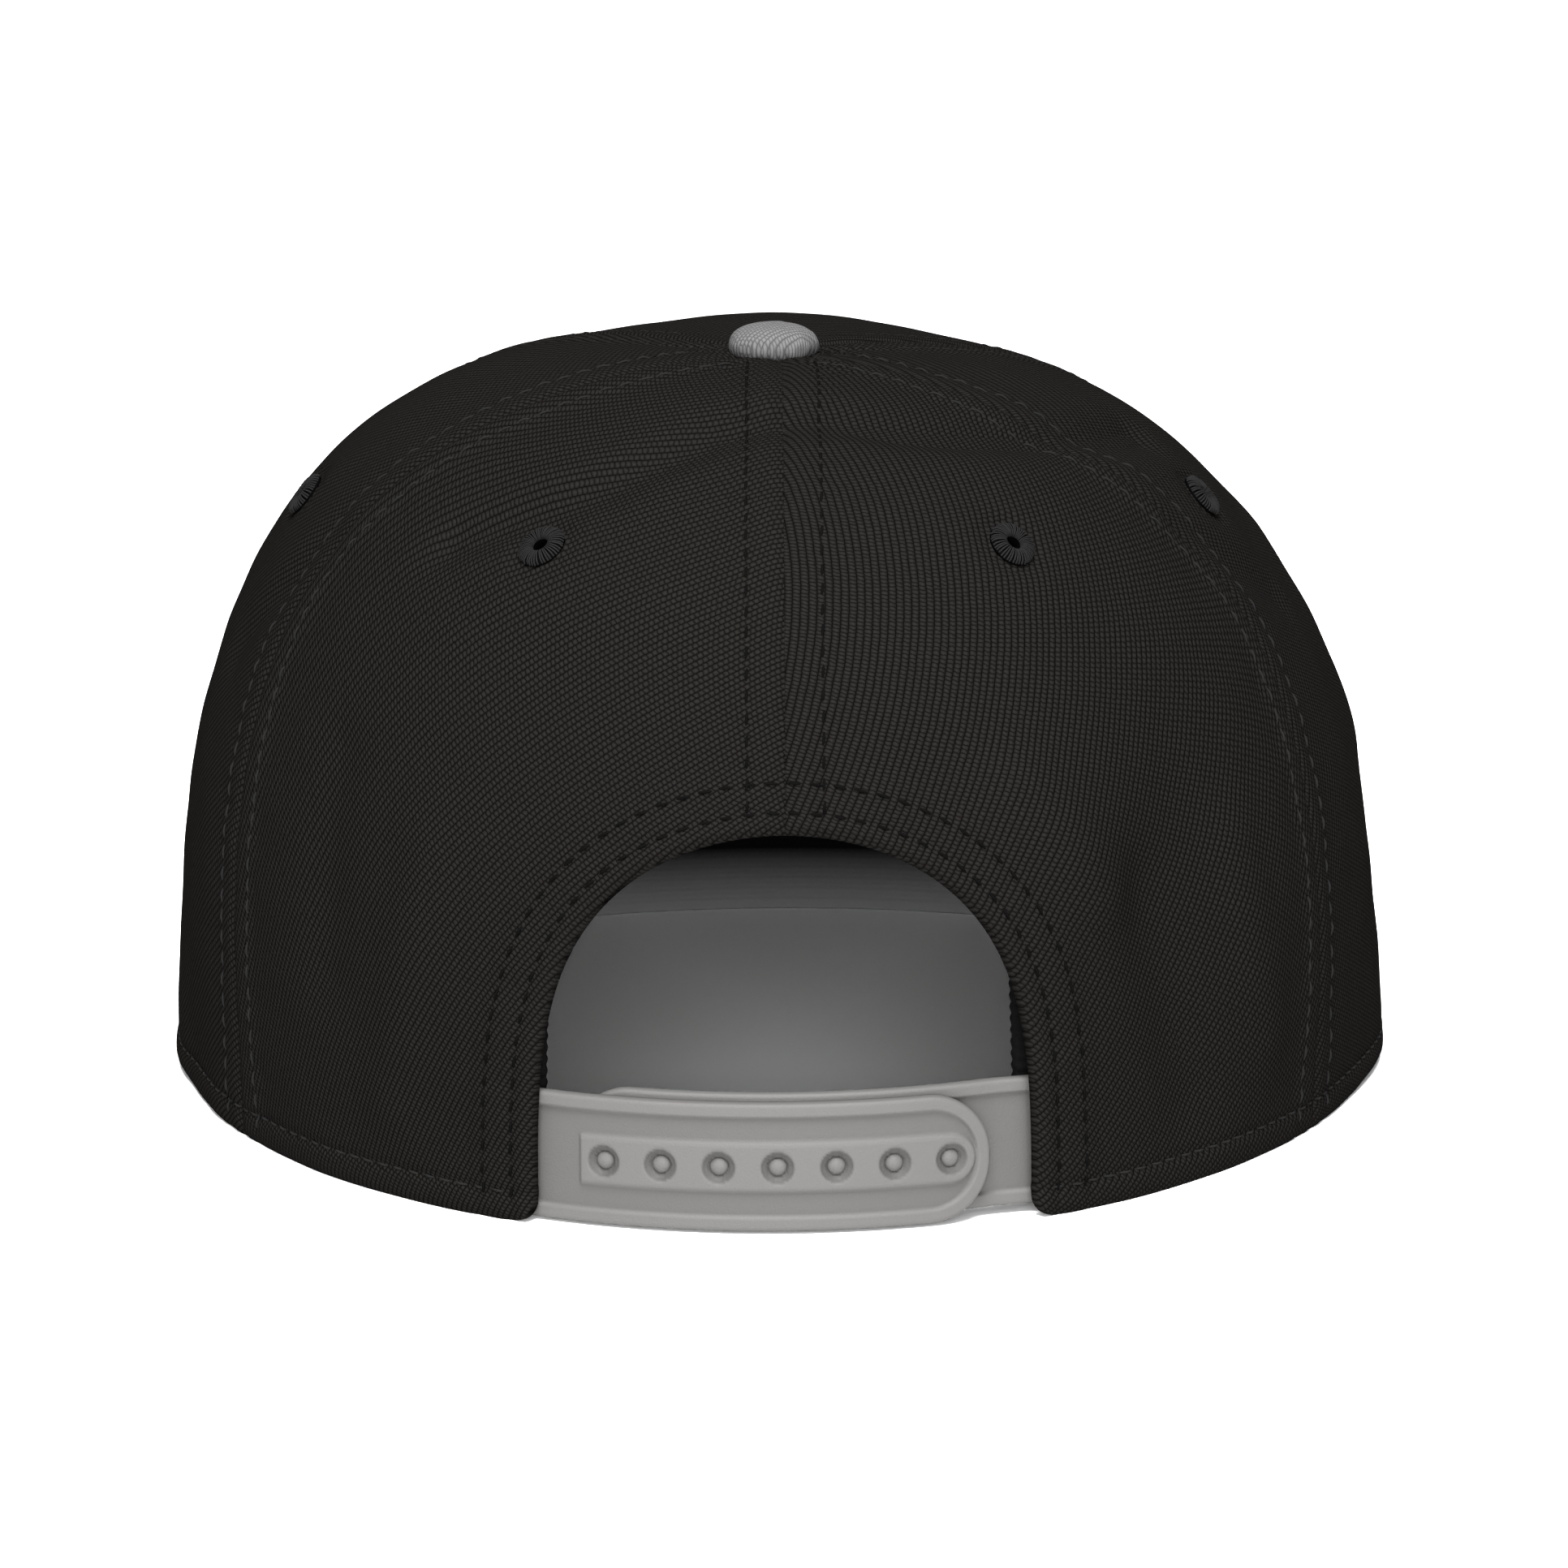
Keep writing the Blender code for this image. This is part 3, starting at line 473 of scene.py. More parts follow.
def piece(name, points, faces, material, nodes=(), weave=None):
    """One shown object that rides on the cap.

    The weave is a UV map in millimetres. On the strap it holds painted shading instead.
    """
    mesh = bpy.data.meshes.new(name)
    mesh.from_pydata(points.reshape(-1, 3).tolist(), [], faces.tolist())
    if weave is not None:
        corners = np.empty(len(mesh.loops), dtype=np.int32)
        mesh.loops.foreach_get("vertex_index", corners)
        layer = mesh.uv_layers.new(name="weave")
        layer.data.foreach_set("uv", weave[corners].astype(np.float32).ravel())
    mesh.shade_smooth()
    mesh.materials.append(material)
    obj = bpy.data.objects.new(name, mesh)
    bpy.context.scene.collection.objects.link(obj)
    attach(obj, "root")
    if nodes:
        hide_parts(*nodes)
    return obj


# Materials


class Nodes:
    """Short way to write a material's node tree."""

    def __init__(self, name):
        self.material = bpy.data.materials.new(name)
        self.material.use_nodes = True
        self.tree = self.material.node_tree
        self.shader = self.tree.nodes["Principled BSDF"]

    def link(self, value, socket):
        """Join another node's socket, or set a fixed value."""
        if isinstance(value, bpy.types.NodeSocket):
            self.tree.links.new(value, socket)
        else:
            socket.default_value = value

    def math(self, operation, a, b=0.0):
        node = self.tree.nodes.new("ShaderNodeMath")
        node.operation = operation
        self.link(a, node.inputs[0])
        self.link(b, node.inputs[1])
        return node.outputs[0]

    def noise(self, scale, detail=2.0, vector=None):
        node = self.tree.nodes.new("ShaderNodeTexNoise")
        node.inputs["Scale"].default_value = scale
        node.inputs["Detail"].default_value = detail
        if vector is None:
            vector = self.tree.nodes.new("ShaderNodeTexCoord").outputs["Object"]
        self.link(vector, node.inputs["Vector"])
        return node.outputs["Fac"]

    def mix(self, share, low, high):
        node = self.tree.nodes.new("ShaderNodeMix")
        node.data_type = 'RGBA'
        self.link(share, node.inputs["Factor"])
        self.link(low, node.inputs["A"])
        self.link(high, node.inputs["B"])
        return node.outputs["Result"]

    def bump(self, height, distance):
        node = self.tree.nodes.new("ShaderNodeBump")
        node.inputs["Distance"].default_value = distance
        self.link(height, node.inputs["Height"])
        self.link(node.outputs["Normal"], self.shader.inputs["Normal"])

    def surface(self, colour, roughness, specular):
        """Set the shader's colour and shine, and give back the material."""
        self.link(colour, self.shader.inputs["Base Color"])
        self.shader.inputs["Roughness"].default_value = roughness
        self.shader.inputs["Specular IOR Level"].default_value = specular
        return self.material

    def weave(self):
        """Sockets of the weave map: along the ribs and across them, in millimetres."""
        node = self.tree.nodes.new("ShaderNodeUVMap")
        node.uv_map = "weave"
        split = self.tree.nodes.new("ShaderNodeSeparateXYZ")
        self.link(node.outputs["UV"], split.inputs[0])
        return split.outputs["X"], split.outputs["Y"], node.outputs["UV"]


def grey(value):
    """Opaque grey colour."""
    return (value, value, value, 1.0)


def twill(name, dark, light, pitch, bead, depth, specular):
    """Twill with ribs of beaded yarn, lighter on the rib tops and darker in the grooves: painted
    highlight and painted shade.
    """
    nodes = Nodes(name)
    along, across, plane = nodes.weave()
    wander = nodes.math('MULTIPLY', nodes.noise(0.35, 3.0, plane), 0.24)
    rib = nodes.math('DIVIDE', nodes.math('ADD', across, wander), pitch)
    number = nodes.math('FLOOR', rib)
    arch = nodes.math('SINE', nodes.math('MULTIPLY', nodes.math('FRACT', rib), math.pi))
    arch = nodes.math('POWER', nodes.math('MAXIMUM', arch, 0.0), 0.5)
    shift = nodes.math('MULTIPLY', number, 0.43)
    turns = nodes.math('ADD', nodes.math('DIVIDE', along, bead), shift)
    turns = nodes.math('ADD', turns, nodes.math('MULTIPLY', nodes.noise(1.3, 1.0, plane), 0.6))
    beads = nodes.math('SINE', nodes.math('MULTIPLY', nodes.math('FRACT', turns), math.pi))
    beads = nodes.math('POWER', nodes.math('MAXIMUM', beads, 0.0), 0.6)
    yarn = nodes.math('MULTIPLY', arch, nodes.math('ADD', nodes.math('MULTIPLY', beads, 0.75), 0.25))
    fuzz = nodes.noise(2600.0, 3.0)
    patch = nodes.noise(2.1, 2.0, plane)
    height = nodes.math('ADD', yarn, nodes.math('MULTIPLY', fuzz, 0.35))
    height = nodes.math('ADD', height, nodes.math('MULTIPLY', patch, 0.25))
    # Painted highlight and shade: the colour follows the yarn's height, varied by random patches
    painted_shading = nodes.math('MULTIPLY', yarn, nodes.math('ADD', nodes.math('MULTIPLY', patch, 0.8), 0.6))
    nodes.bump(height, depth)
    return nodes.surface(nodes.mix(painted_shading, dark, light), 0.88, specular)


def plain(name, dark, light, scale, roughness, bump, specular=0.35):
    """Matt finish with a fine grain."""
    nodes = Nodes(name)
    grain = nodes.noise(scale, 4.0)
    nodes.bump(grain, bump)
    return nodes.surface(nodes.mix(grain, dark, light), roughness, specular)


def frosted():
    """Grey plastic with a fine grain and painted shade: darker where the map of painted shading is low.
    """
    nodes = Nodes("grey_plastic")
    painted_shading = nodes.weave()[0]
    grain = nodes.noise(3800.0, 4.0)
    share = nodes.math('ADD', nodes.math('MULTIPLY', painted_shading, 0.8), nodes.math('MULTIPLY', grain, 0.2))
    colour = nodes.mix(share, (0.026, 0.0255, 0.0245, 1), (0.050, 0.049, 0.0477, 1))
    nodes.bump(grain, 0.00006)
    return nodes.surface(colour, 0.6, 0.15)


def ribbing():
    """Black band with painted light on its front part: grey at the rim and fading upward, for the light
    that falls in through the opening.
    """
    nodes = Nodes("black_ribbing")
    place = nodes.tree.nodes.new("ShaderNodeTexCoord").outputs["Object"]
    split = nodes.tree.nodes.new("ShaderNodeSeparateXYZ")
    nodes.link(place, split.inputs[0])
    # Painted light: the band's front is grey at the rim and fades to black higher up
    front = nodes.math('MULTIPLY', nodes.math('ADD', split.outputs["Y"], 0.01), -25.0)
    front = nodes.math('MINIMUM', nodes.math('MAXIMUM', front, 0.0), 1.0)
    low = nodes.math('SUBTRACT', 1.0, nodes.math('DIVIDE', split.outputs["Z"], BAND_PAINTED_LIGHT_FADE))
    front = nodes.math('MULTIPLY', front, nodes.math('MAXIMUM', low, 0.0))
    colour = nodes.mix(front, grey(0.0022), grey(BAND_FRONT_PAINTED_LIGHT))
    nodes.bump(nodes.noise(3000.0, 3.0), 0.00012)
    return nodes.surface(colour, 0.95, 0.01)


# Each twill runs from painted groove shade to painted rib highlight
black_twill = twill("black_twill", (0.0004, 0.0004, 0.0004, 1), (0.0063, 0.0058, 0.0054, 1),
                    1.1, 0.75, 0.00026, 0.0)
grey_twill = twill("grey_twill", grey(0.020), grey(0.060), 0.7, 0.5, 0.00014, 0.08)
black_thread = plain("black_thread", grey(0.003), grey(0.008), 5000.0, 0.8, 0.00008, 0.02)
dark_thread = plain("dark_thread", grey(0.0009), grey(0.0022), 5000.0, 1.0, 0.00008, 0.0)
# Painted shade: black of the needle holes and of the eyelets' bores and gaps between threads
painted_shade_black = plain("painted_shade_black", grey(0.0005), grey(0.0012), 3000.0, 1.0, 0.00002, 0.0)
grey_thread = plain("grey_thread", grey(0.14), grey(0.22), 5000.0, 0.7, 0.00008, 0.2)
black_ribbing = ribbing()
grey_plastic = frosted()


# Crown panels


def even_curve(azimuth, rise):
    """Resample a line on the crown in even steps, finer near the rim."""
    point = crown(azimuth, rise)
    step = np.linalg.norm(np.diff(point, axis=0), axis=1)
    step = step * (1.0 + 1.5 * np.exp(-point[1:, 2] / 0.004))
    length = np.concatenate([[0.0], np.cumsum(step)])
    goal = np.linspace(0.0, length[-1], PANEL_ROWS)
    return np.interp(goal, length, azimuth), np.interp(goal, length, rise)


def seam_side(seam, side):
    """A seam from the rim to the apex, half a gap towards side."""
    rise = TOP_RISE * np.linspace(0.0, 1.0, 600) ** 1.5
    _, width, climb = crown_frame(seam_line(seam, rise), rise)
    azimuth = seam_line(seam, rise) + side * SEAM_GAP / 2.0 * seam_slope(seam, rise, width, climb)
    return even_curve(azimuth, rise)


def opening_side(side):
    """The edge of the rear opening from the rim, then the middle seam up to the apex."""
    half = ARCH_WIDTH / 2.0
    corner = np.radians(np.linspace(0.0, 88.0, 12))
    flare_z = ARCH_CORNER - ARCH_CORNER * np.cos(corner)
    top = math.acos(side * (MIDDLE_X - ARCH_SHIFT) / half)
    turn = np.linspace(0.0, top, 400)[1:]
    z = ARCH_HEIGHT * np.sin(turn) ** (2.0 / ARCH_SQUARENESS)
    x = half * np.cos(turn)
    keep = z > ARCH_CORNER
    flare_x = half * np.sqrt(1.0 - (flare_z / ARCH_HEIGHT) ** ARCH_SQUARENESS)
    flare_x = flare_x + ARCH_CORNER - np.sqrt(np.maximum(
        ARCH_CORNER ** 2 - (ARCH_CORNER - flare_z) ** 2, 0.0))
    x = ARCH_SHIFT + side * np.concatenate([flare_x, x[keep]])
    z = np.concatenate([flare_z, z[keep]])
    azimuth, rise = on_back(x, z)
    up = rise[-1] + (TOP_RISE - rise[-1]) * np.linspace(0.0, 1.0, 300)[1:]
    width = crown_frame(np.zeros_like(up), up)[1]
    azimuth = np.concatenate([azimuth, (middle_x(width) + side * SEAM_GAP / 2.0) / width])
    return even_curve(azimuth, np.concatenate([rise, up]))


def rib_grade(low, high, up):
    """A grade that changes from low to high over RIB_TURN, and its sum from the rim up."""
    level = np.clip(up / RIB_TURN, 0.0, 1.0)
    risen = np.where(level < 1.0, level * up / 2.0, up - RIB_TURN / 2.0)
    return low + (high - low) * level, low * up + (high - low) * risen


def rib_weave(up, across, low_ribs, high_ribs):
    """Places along and across the ribs, which turn from the low pair to the high pair."""
    (low_angle, low_fine), (high_angle, high_fine) = low_ribs, high_ribs
    low_turn, high_turn = math.radians(low_angle), math.radians(high_angle)
    flat, flat_sum = rib_grade(low_fine * math.cos(low_turn), high_fine * math.cos(high_turn), up)
    steep, steep_sum = rib_grade(low_fine * math.sin(low_turn), high_fine * math.sin(high_turn), up)
    return np.stack([steep_sum - across * flat, flat_sum + across * steep], -1)


def eyelet_bores(centre):
    """Which faces, given by their centres, aren't cut away by an eyelet's bore."""
    keep = np.ones(len(centre), bool)
    for _, azimuth, rise in EYELETS:
        away = centre - crown(azimuth, rise)
        along = away @ crown_frame(azimuth, rise)[0]
        aside = np.sqrt(np.maximum((away ** 2).sum(axis=1) - along ** 2, 0.0))
        keep &= (aside > EYELET_BORE + 0.0008) | (np.abs(along) > 0.006)
    return keep


def make_panel(name, left, right, columns, middle, low_ribs, high_ribs):
    """Panel between two lines on the crown, left at the lower azimuth.

    The ribs are counted from the azimuth called middle. They have an angle in degrees
    and a fineness, once low on the panel and once high.
    """
    share = np.linspace(0.0, 1.0, columns)
    share = share - 0.6 * np.sin(2.0 * math.pi * share) / (2.0 * math.pi)
    azimuth = left[0][:, None] * (1.0 - share) + right[0][:, None] * share
    rise = left[1][:, None] * (1.0 - share) + right[1][:, None] * share
    outer, normal = cloth(azimuth, rise)
    inner = crown(azimuth, rise) - normal * CLOTH
    points, faces, ring = shell(outer, inner, PANEL_BULGE)
    points[:, 2] = np.maximum(points[:, 2], 0.0)
    ladder = np.linspace(0.0, 1.0, 400)
    climb = np.linalg.norm(np.diff(crown(middle, ladder), axis=0), axis=1)
    up = np.interp(rise, ladder, np.concatenate([[0.0], np.cumsum(climb)]))
    across = wrap(azimuth - middle) * crown_frame(middle + wrap(azimuth - middle) / 2.0, rise)[1]
    weave = rib_weave(up, across, low_ribs, high_ribs).reshape(-1, 2) / MM
    weave = np.concatenate([weave, weave, weave[ring]])
    faces = faces[eyelet_bores(points[faces].mean(axis=1))]
    piece(name + "_cloth", points, faces, black_twill, (name,), weave)


def panels():
    """The five cloth panels of the crown."""
    make_panel("back_panel_left", opening_side(1), seam_side(BACK_SEAM, -1),
               96, 29.0, (62, 1.40), (27, 0.95))
    make_panel("back_panel_right", seam_side(-BACK_SEAM, 1), opening_side(-1),
               96, -29.0, (42, 1.30), (80, 1.00))
    make_panel("side_panel_left", seam_side(BACK_SEAM, 1), seam_side(FRONT_SEAM, -1),
               90, 90.0, (42, 1.1), (42, 1.0))
    make_panel("side_panel_right", seam_side(-FRONT_SEAM, 1), seam_side(-BACK_SEAM, -1),
               90, -90.0, (48, 1.1), (48, 1.0))
    azimuth, rise = seam_side(-FRONT_SEAM, -1)
    make_panel("front_panel", seam_side(FRONT_SEAM, 1), (azimuth + 360.0, rise),
               140, 180.0, (45, 1.0), (45, 1.0))


panels()


# Sewing threads


def needle_hole_shade(places, normals, radius):
    """Painted shade of the needle holes: small black domes where the needle went in."""
    dome, dome_faces = lathe([(0.00001, 0.25), (0.6, 0.2), (0.9, 0.05), (1.0, -0.4)], 8)
    dome = dome.reshape(-1, 3) * radius
    across = unit(np.cross(normals, (0.0, 0.0, 1.0)))
    axes = np.stack([across, np.cross(normals, across), normals], axis=1)
    points = np.einsum('pi,nij->npj', dome, axes) + places[:, None]
    faces = np.arange(len(places))[:, None, None] * len(dome) + dome_faces
    return points.reshape(-1, 3), faces.reshape(-1, 4)


def sewing(paths, radius=THREAD_RADIUS, length=STITCH_LENGTH, holes=False):
    """Stitches along paths of (points, normals), or the painted shade of the needle holes between them.
    """
    random = np.random.default_rng(3)
    all_centres, all_normals = [], []
    for points, normals in paths:
        run = np.concatenate([[0.0], np.cumsum(np.linalg.norm(np.diff(points, axis=0), axis=1))])
        count = int(run[-1] / STITCH_PITCH)
        if count < 1:
            continue
        start = (np.arange(count) + 0.5) * run[-1] / count - length / 2.0
        start = start + random.uniform(-0.05, 0.05, count) * STITCH_PITCH
        share = np.linspace(0.0, 1.0, 7)
        place = start[:, None] + share * length
        centre = np.stack([np.interp(place, run, points[:, i]) for i in range(3)], -1)
        normal = unit(np.stack([np.interp(place, run, normals[:, i]) for i in range(3)], -1))
        tangent = unit(np.gradient(centre, axis=1))
        slant = (share - 0.5)[None, :, None] * np.cross(tangent, normal) * radius * 0.9
        lift = radius * (1.7 * np.sin(math.pi * share) - 1.0)
        all_centres.append(centre + normal * lift[None, :, None] + slant)
        all_normals.append(normal)
    centres, normals = np.concatenate(all_centres), np.concatenate(all_normals)
    # Painted shade: black domes at the needle holes
    if holes:
        ends = centres[:, -1] - normals[:, -1] * lift[-1] + (centres[:, -1] - centres[:, -2])
        return needle_hole_shade(ends, normals[:, -1], radius * 1.5)
    taper = radius * (0.55 + 0.45 * np.sin(math.pi * np.linspace(0.0, 1.0, 7)))
    return tubes(centres, normals, np.broadcast_to(taper, centres.shape[:2]))


def seam_path(seam, off, low, high):
    """Row of stitches beside a seam, from a low to a high rise."""
    rise = np.linspace(low, high, 300)
    line = seam_line(seam, rise)
    _, width, climb = crown_frame(line, rise)
    if seam == 0.0:
        return cloth((middle_x(width) + off) / width, rise)
    return cloth(line + off * seam_slope(seam, rise, width, climb), rise)


def arch_path(off):
    """Row of stitches around the rear opening."""
    half = ARCH_WIDTH / 2.0
    turn = np.linspace(0.0, math.pi, 700)
    height = np.maximum(np.sin(turn), 0.0) ** (2.0 / ARCH_SQUARENESS)
    x, z = ARCH_SHIFT + half * np.cos(turn), ARCH_HEIGHT * height
    steep_x = 2.0 * (x - ARCH_SHIFT) / half ** 2
    steep_z = ARCH_SQUARENESS * height ** (ARCH_SQUARENESS - 1.0) / ARCH_HEIGHT
    size = np.hypot(steep_x, steep_z)
    x, z = x + off * steep_x / size, z + off * steep_z / size
    keep = z > 0.0012
    return cloth(*on_back(x[keep], z[keep]))


def hem_path():
    """Row of stitches along the rim."""
    edge = math.degrees(math.asin((ARCH_WIDTH / 2.0 + 0.001) / (CROWN_WIDTH / 2.0))) + 1.0
    azimuth = np.linspace(edge, 360.0 - edge, 900)
    return cloth(azimuth, rise_at_height(azimuth, HEM_ROW))


def sew_crown():
    """All stitches of the crown. Around the opening and beside the middle seam they are darker."""
    rows, front_rows = [hem_path()], []
    dark_rows = [arch_path(off) for off in ARCH_ROWS]
    low_middle = float(on_back(np.array([0.0]), np.array([ARCH_HEIGHT + 0.0022]))[1][0])
    for off in (-SEAM_ROW, SEAM_ROW):
        dark_rows.append(seam_path(0.0, off, low_middle, 0.955))
        for side in (1, -1):
            rows.append(seam_path(side * BACK_SEAM, off, SEAM_LOW, 0.950))
            front_rows.append(seam_path(side * FRONT_SEAM, off, SEAM_LOW, 0.930))
    work = (
        # piece, stitches, material
        ("crown_stitches", sewing(rows), black_thread),
        ("crown_front_stitches", sewing(front_rows, FRONT_THREAD_RADIUS), black_thread),
        ("crown_dark_stitches", sewing(dark_rows, DARK_THREAD_RADIUS, DARK_STITCH_LENGTH), dark_thread),
        ("crown_needle_hole_shade", sewing(rows, holes=True), painted_shade_black),
        ("crown_dark_needle_hole_shade",
         sewing(dark_rows, DARK_HOLE_SHADE_RADIUS, DARK_STITCH_LENGTH, True), painted_shade_black),
    )
    for name, (points, faces), material in work:
        piece(name, points, faces, material)


sew_crown()


# Eyelets and button


def eyelet(name, azimuth, rise):
    """Ring of close radial threads around a bore through the cloth; under them a black ring is painted
    shade in the bore and between the threads.
    """
    origin, normal = cloth(np.array(azimuth), np.array(rise))
    across = unit(np.cross((0.0, 0.0, 1.0), normal))
    axes = np.stack([across, np.cross(normal, across), normal])
    under = -CLOTH - 0.0014
    section = [
        (EYELET_BORE, 0.0002), (EYELET_BORE + 0.0003, 0.0005), (0.0019, 0.00065),
        (0.0026, 0.0006), (0.0032, 0.00035), (EYELET_OUTER, 0.0), (EYELET_OUTER, -0.0004),
        (EYELET_BORE + 0.0007, -0.0004), (EYELET_BORE + 0.0007, under + 0.0006),
        (0.0029, under + 0.0006), (0.0029, under), (EYELET_BORE, under), (EYELET_BORE, 0.0002),
    ]
    ring, faces = lathe(section, 48)
    ring = ring.reshape(-1, 3)
    random = np.random.default_rng(round(azimuth) + 200)
    count = EYELET_THREADS
    angle = (np.arange(count) + random.uniform(-0.18, 0.18, count)) * 2.0 * math.pi / count
    share = np.linspace(0.0, 1.0, 11)
    radius = EYELET_BORE - 0.00005 + (EYELET_OUTER - EYELET_BORE) * share
    radius = radius[None, :] + random.uniform(-0.0001, 0.00014, count)[:, None] * share
    height = 0.0002 + 0.00072 * np.sin(math.pi * np.clip(0.18 + 0.80 * share, 0.0, 1.0)) ** 0.7
    height[0] -= 0.0004
    height[-1] -= 0.0003
    thread = np.stack([radius * np.cos(angle)[:, None], radius * np.sin(angle)[:, None],
                       np.broadcast_to(height, radius.shape)], -1)
    up = np.broadcast_to((0.0, 0.0, 1.0), thread.shape)
    size = 0.00008 + 0.00008 * share
    threads, thread_faces = tubes(thread, up, np.broadcast_to(size, radius.shape), 5)
    # The ring is black as painted shade in the bore and between the threads
    piece(name + "_ring", ring @ axes + origin, faces, painted_shade_black, (name,))
    piece(name + "_threads", threads @ axes + origin, thread_faces, black_thread)


for eyelet_row in EYELETS:
    eyelet(*eyelet_row)


def button():
    """Domed button covered with grey cloth, its stem, and the rivet inside."""
    widest = 0.26 * BUTTON_HEIGHT
    turn = np.radians(np.linspace(0.0, 90.0, 22))
    dome = np.stack([BUTTON_RADIUS * np.sin(turn) ** 0.85,
                     GAP + widest + (BUTTON_HEIGHT - widest) * np.cos(turn) ** 0.9], -1)
    tuck = np.radians(np.linspace(10.0, 90.0, 6))
    tucked = np.stack([BUTTON_RADIUS - 0.0009 * (1.0 - np.cos(tuck)),
                       GAP + widest * (1.0 - np.sin(tuck))], -1)
    inside = -CLOTH - 3.0 * GAP
    stem = [(0.0012, GAP), (0.0012, inside), (0.004, inside), (0.004, inside - 0.0008),
            (0.00001, inside - 0.0008)]
    points, faces = lathe(np.concatenate([dome, tucked, stem]), 96)
    lump = 0.00012 * waves(points, 0.006, 21) + 0.00004 * waves(points, 0.002, 22)
    cover = (points[..., 2] > GAP + 0.0001)[..., None]
    points = points + np.where(cover, unit(points + (0.0, 0.0, 0.001)) * lump[..., None], 0.0)
    weave = points[..., :2].reshape(-1, 2) @ np.array([[0.8, -0.6], [0.6, 0.8]]) / MM
    points = points + crown(0.0, 1.0) - (0.0, 0.0, BUTTON_SINK)
    piece("crown_button_cloth", points, faces, grey_twill, ("crown_button",), weave)


button()


# Snap strap and sweatband


def strap_map():
    """Azimuths beside the opening and their lengths along the strap from the middle of the back."""
    azimuth = np.linspace(-60.0, 60.0, 481)
    line = wall_point(azimuth, np.full(481, SNAP_Z), np.full(481, STRAP_INSET + STACK))
    length = np.concatenate([[0.0], np.cumsum(np.linalg.norm(np.diff(line, axis=0), axis=1))])
    return azimuth, length - length[240]


strap_azimuths, strap_lengths = strap_map()


def edge_length(side):
    """Length along the strap of the cloth's edge beside it."""
    share = SNAP_Z / ARCH_HEIGHT
    half = ARCH_WIDTH / 2.0 * math.sqrt(1.0 - share ** ARCH_SQUARENESS)
    azimuth = float(on_back(np.array([ARCH_SHIFT + side * half]), np.array([SNAP_Z]))[0][0])
    return float(np.interp(azimuth, strap_azimuths, strap_lengths))


EDGE_LEFT, EDGE_RIGHT = edge_length(1), edge_length(-1)
ROOT_LEFT, ROOT_RIGHT = EDGE_LEFT + STRAP_TUCK, EDGE_RIGHT - STRAP_TUCK
STRAP_TIP = SNAP_SPAN / 2.0 + STRAP_END


def peg_inset(length):
    """The peg half lies behind the other half and steps outward to its own sewn end."""
    outer = (EDGE_RIGHT + ROOT_RIGHT) / 2.0
    return STRAP_INSET + STACK * ease((length - outer) / (-STRAP_TIP - outer))


def bend(length, height, out, inset):
    """Point of the strap, bent along the wall, a distance out from its inner face."""
    azimuth = np.interp(length, strap_lengths, strap_azimuths)
    return wall_point(azimuth, height, inset + STRAP_FULL - out)


def strap_margin(length, height, tip, toward):
    """Distance from the strap's edge, with round corners at the tip."""
    flat = np.stack([np.maximum(STRAP_CORNER - (length - tip) * toward, 0.0),
                     np.maximum(np.abs(height) - STRAP_HEIGHT / 2.0 + STRAP_CORNER, 0.0)], -1)
    margin = STRAP_CORNER - np.linalg.norm(flat, axis=-1)
    margin = np.where(flat.max(axis=-1) > 0, margin, STRAP_CORNER)
    return np.minimum(margin, STRAP_HEIGHT / 2.0 - np.abs(height))


def hole_band(length, height, out):
    """The face with its raised band of sunk holes, and the painted shade of its holes: how much each
    place is in a hole.
    """
    half = BAND_HEIGHT / 2.0
    band = np.stack([np.maximum(np.abs(length) - SNAP_SPAN / 2.0, 0.0), height], -1)
    square = np.maximum(length - SNAP_SPAN / 2.0 - half, np.abs(height) - half)
    band = np.where(length > 0.0, square, np.linalg.norm(band, axis=-1) - half)
    out = np.maximum(out, STRAP_THICK + STRAP_RELIEF * ease((0.0002 - band) / 0.0004))
    shade = 0.0
    for index in range(SNAP_COUNT):
        off = np.hypot(length + SNAP_SPAN / 2.0 - SNAP_PITCH * index, height)
        sink = RING_DEPTH * ease((HOLE_RADIUS + COUNTERSINK - 0.0002 - off) / 0.0003)
        sink = sink + PEG_SINK * ease((PEG_RADIUS + 0.0002 - off) / 0.0002)
        out = out - sink
        # painted shade: each hole's recess is darkened
        shade = shade + ease((HOLE_RADIUS + COUNTERSINK - 0.0001 - off) / 0.0003)
    return out, shade


def pegs(inset_at):
    """Points and faces of the pegs, which stand in the holes of the other half."""
    turn = np.radians(np.linspace(0.0, 90.0, 8))
    tip_out = STACK + STRAP_FULL - STRAP_RELIEF / 2.0
    profile = np.stack([(PEG_RADIUS - 0.0001) * np.sin(turn) + 0.00001,
                        tip_out - 0.0008 * (1.0 - np.cos(turn))], -1)
    profile = np.concatenate([profile, [(PEG_RADIUS - 0.0001, STRAP_THICK / 2.0)]])
    peg, peg_faces = lathe(profile, 28)
    points, faces = [], []
    for index in range(SNAP_COUNT):
        length = peg[..., 0] + SNAP_PITCH * index - SNAP_SPAN / 2.0
        moved = bend(length, peg[..., 1] + SNAP_Z, peg[..., 2], inset_at(length)).reshape(-1, 3)
        faces.append(peg_faces[:, ::-1] + index * len(moved))
        points.append(moved)
    return np.concatenate(points), np.concatenate(faces)


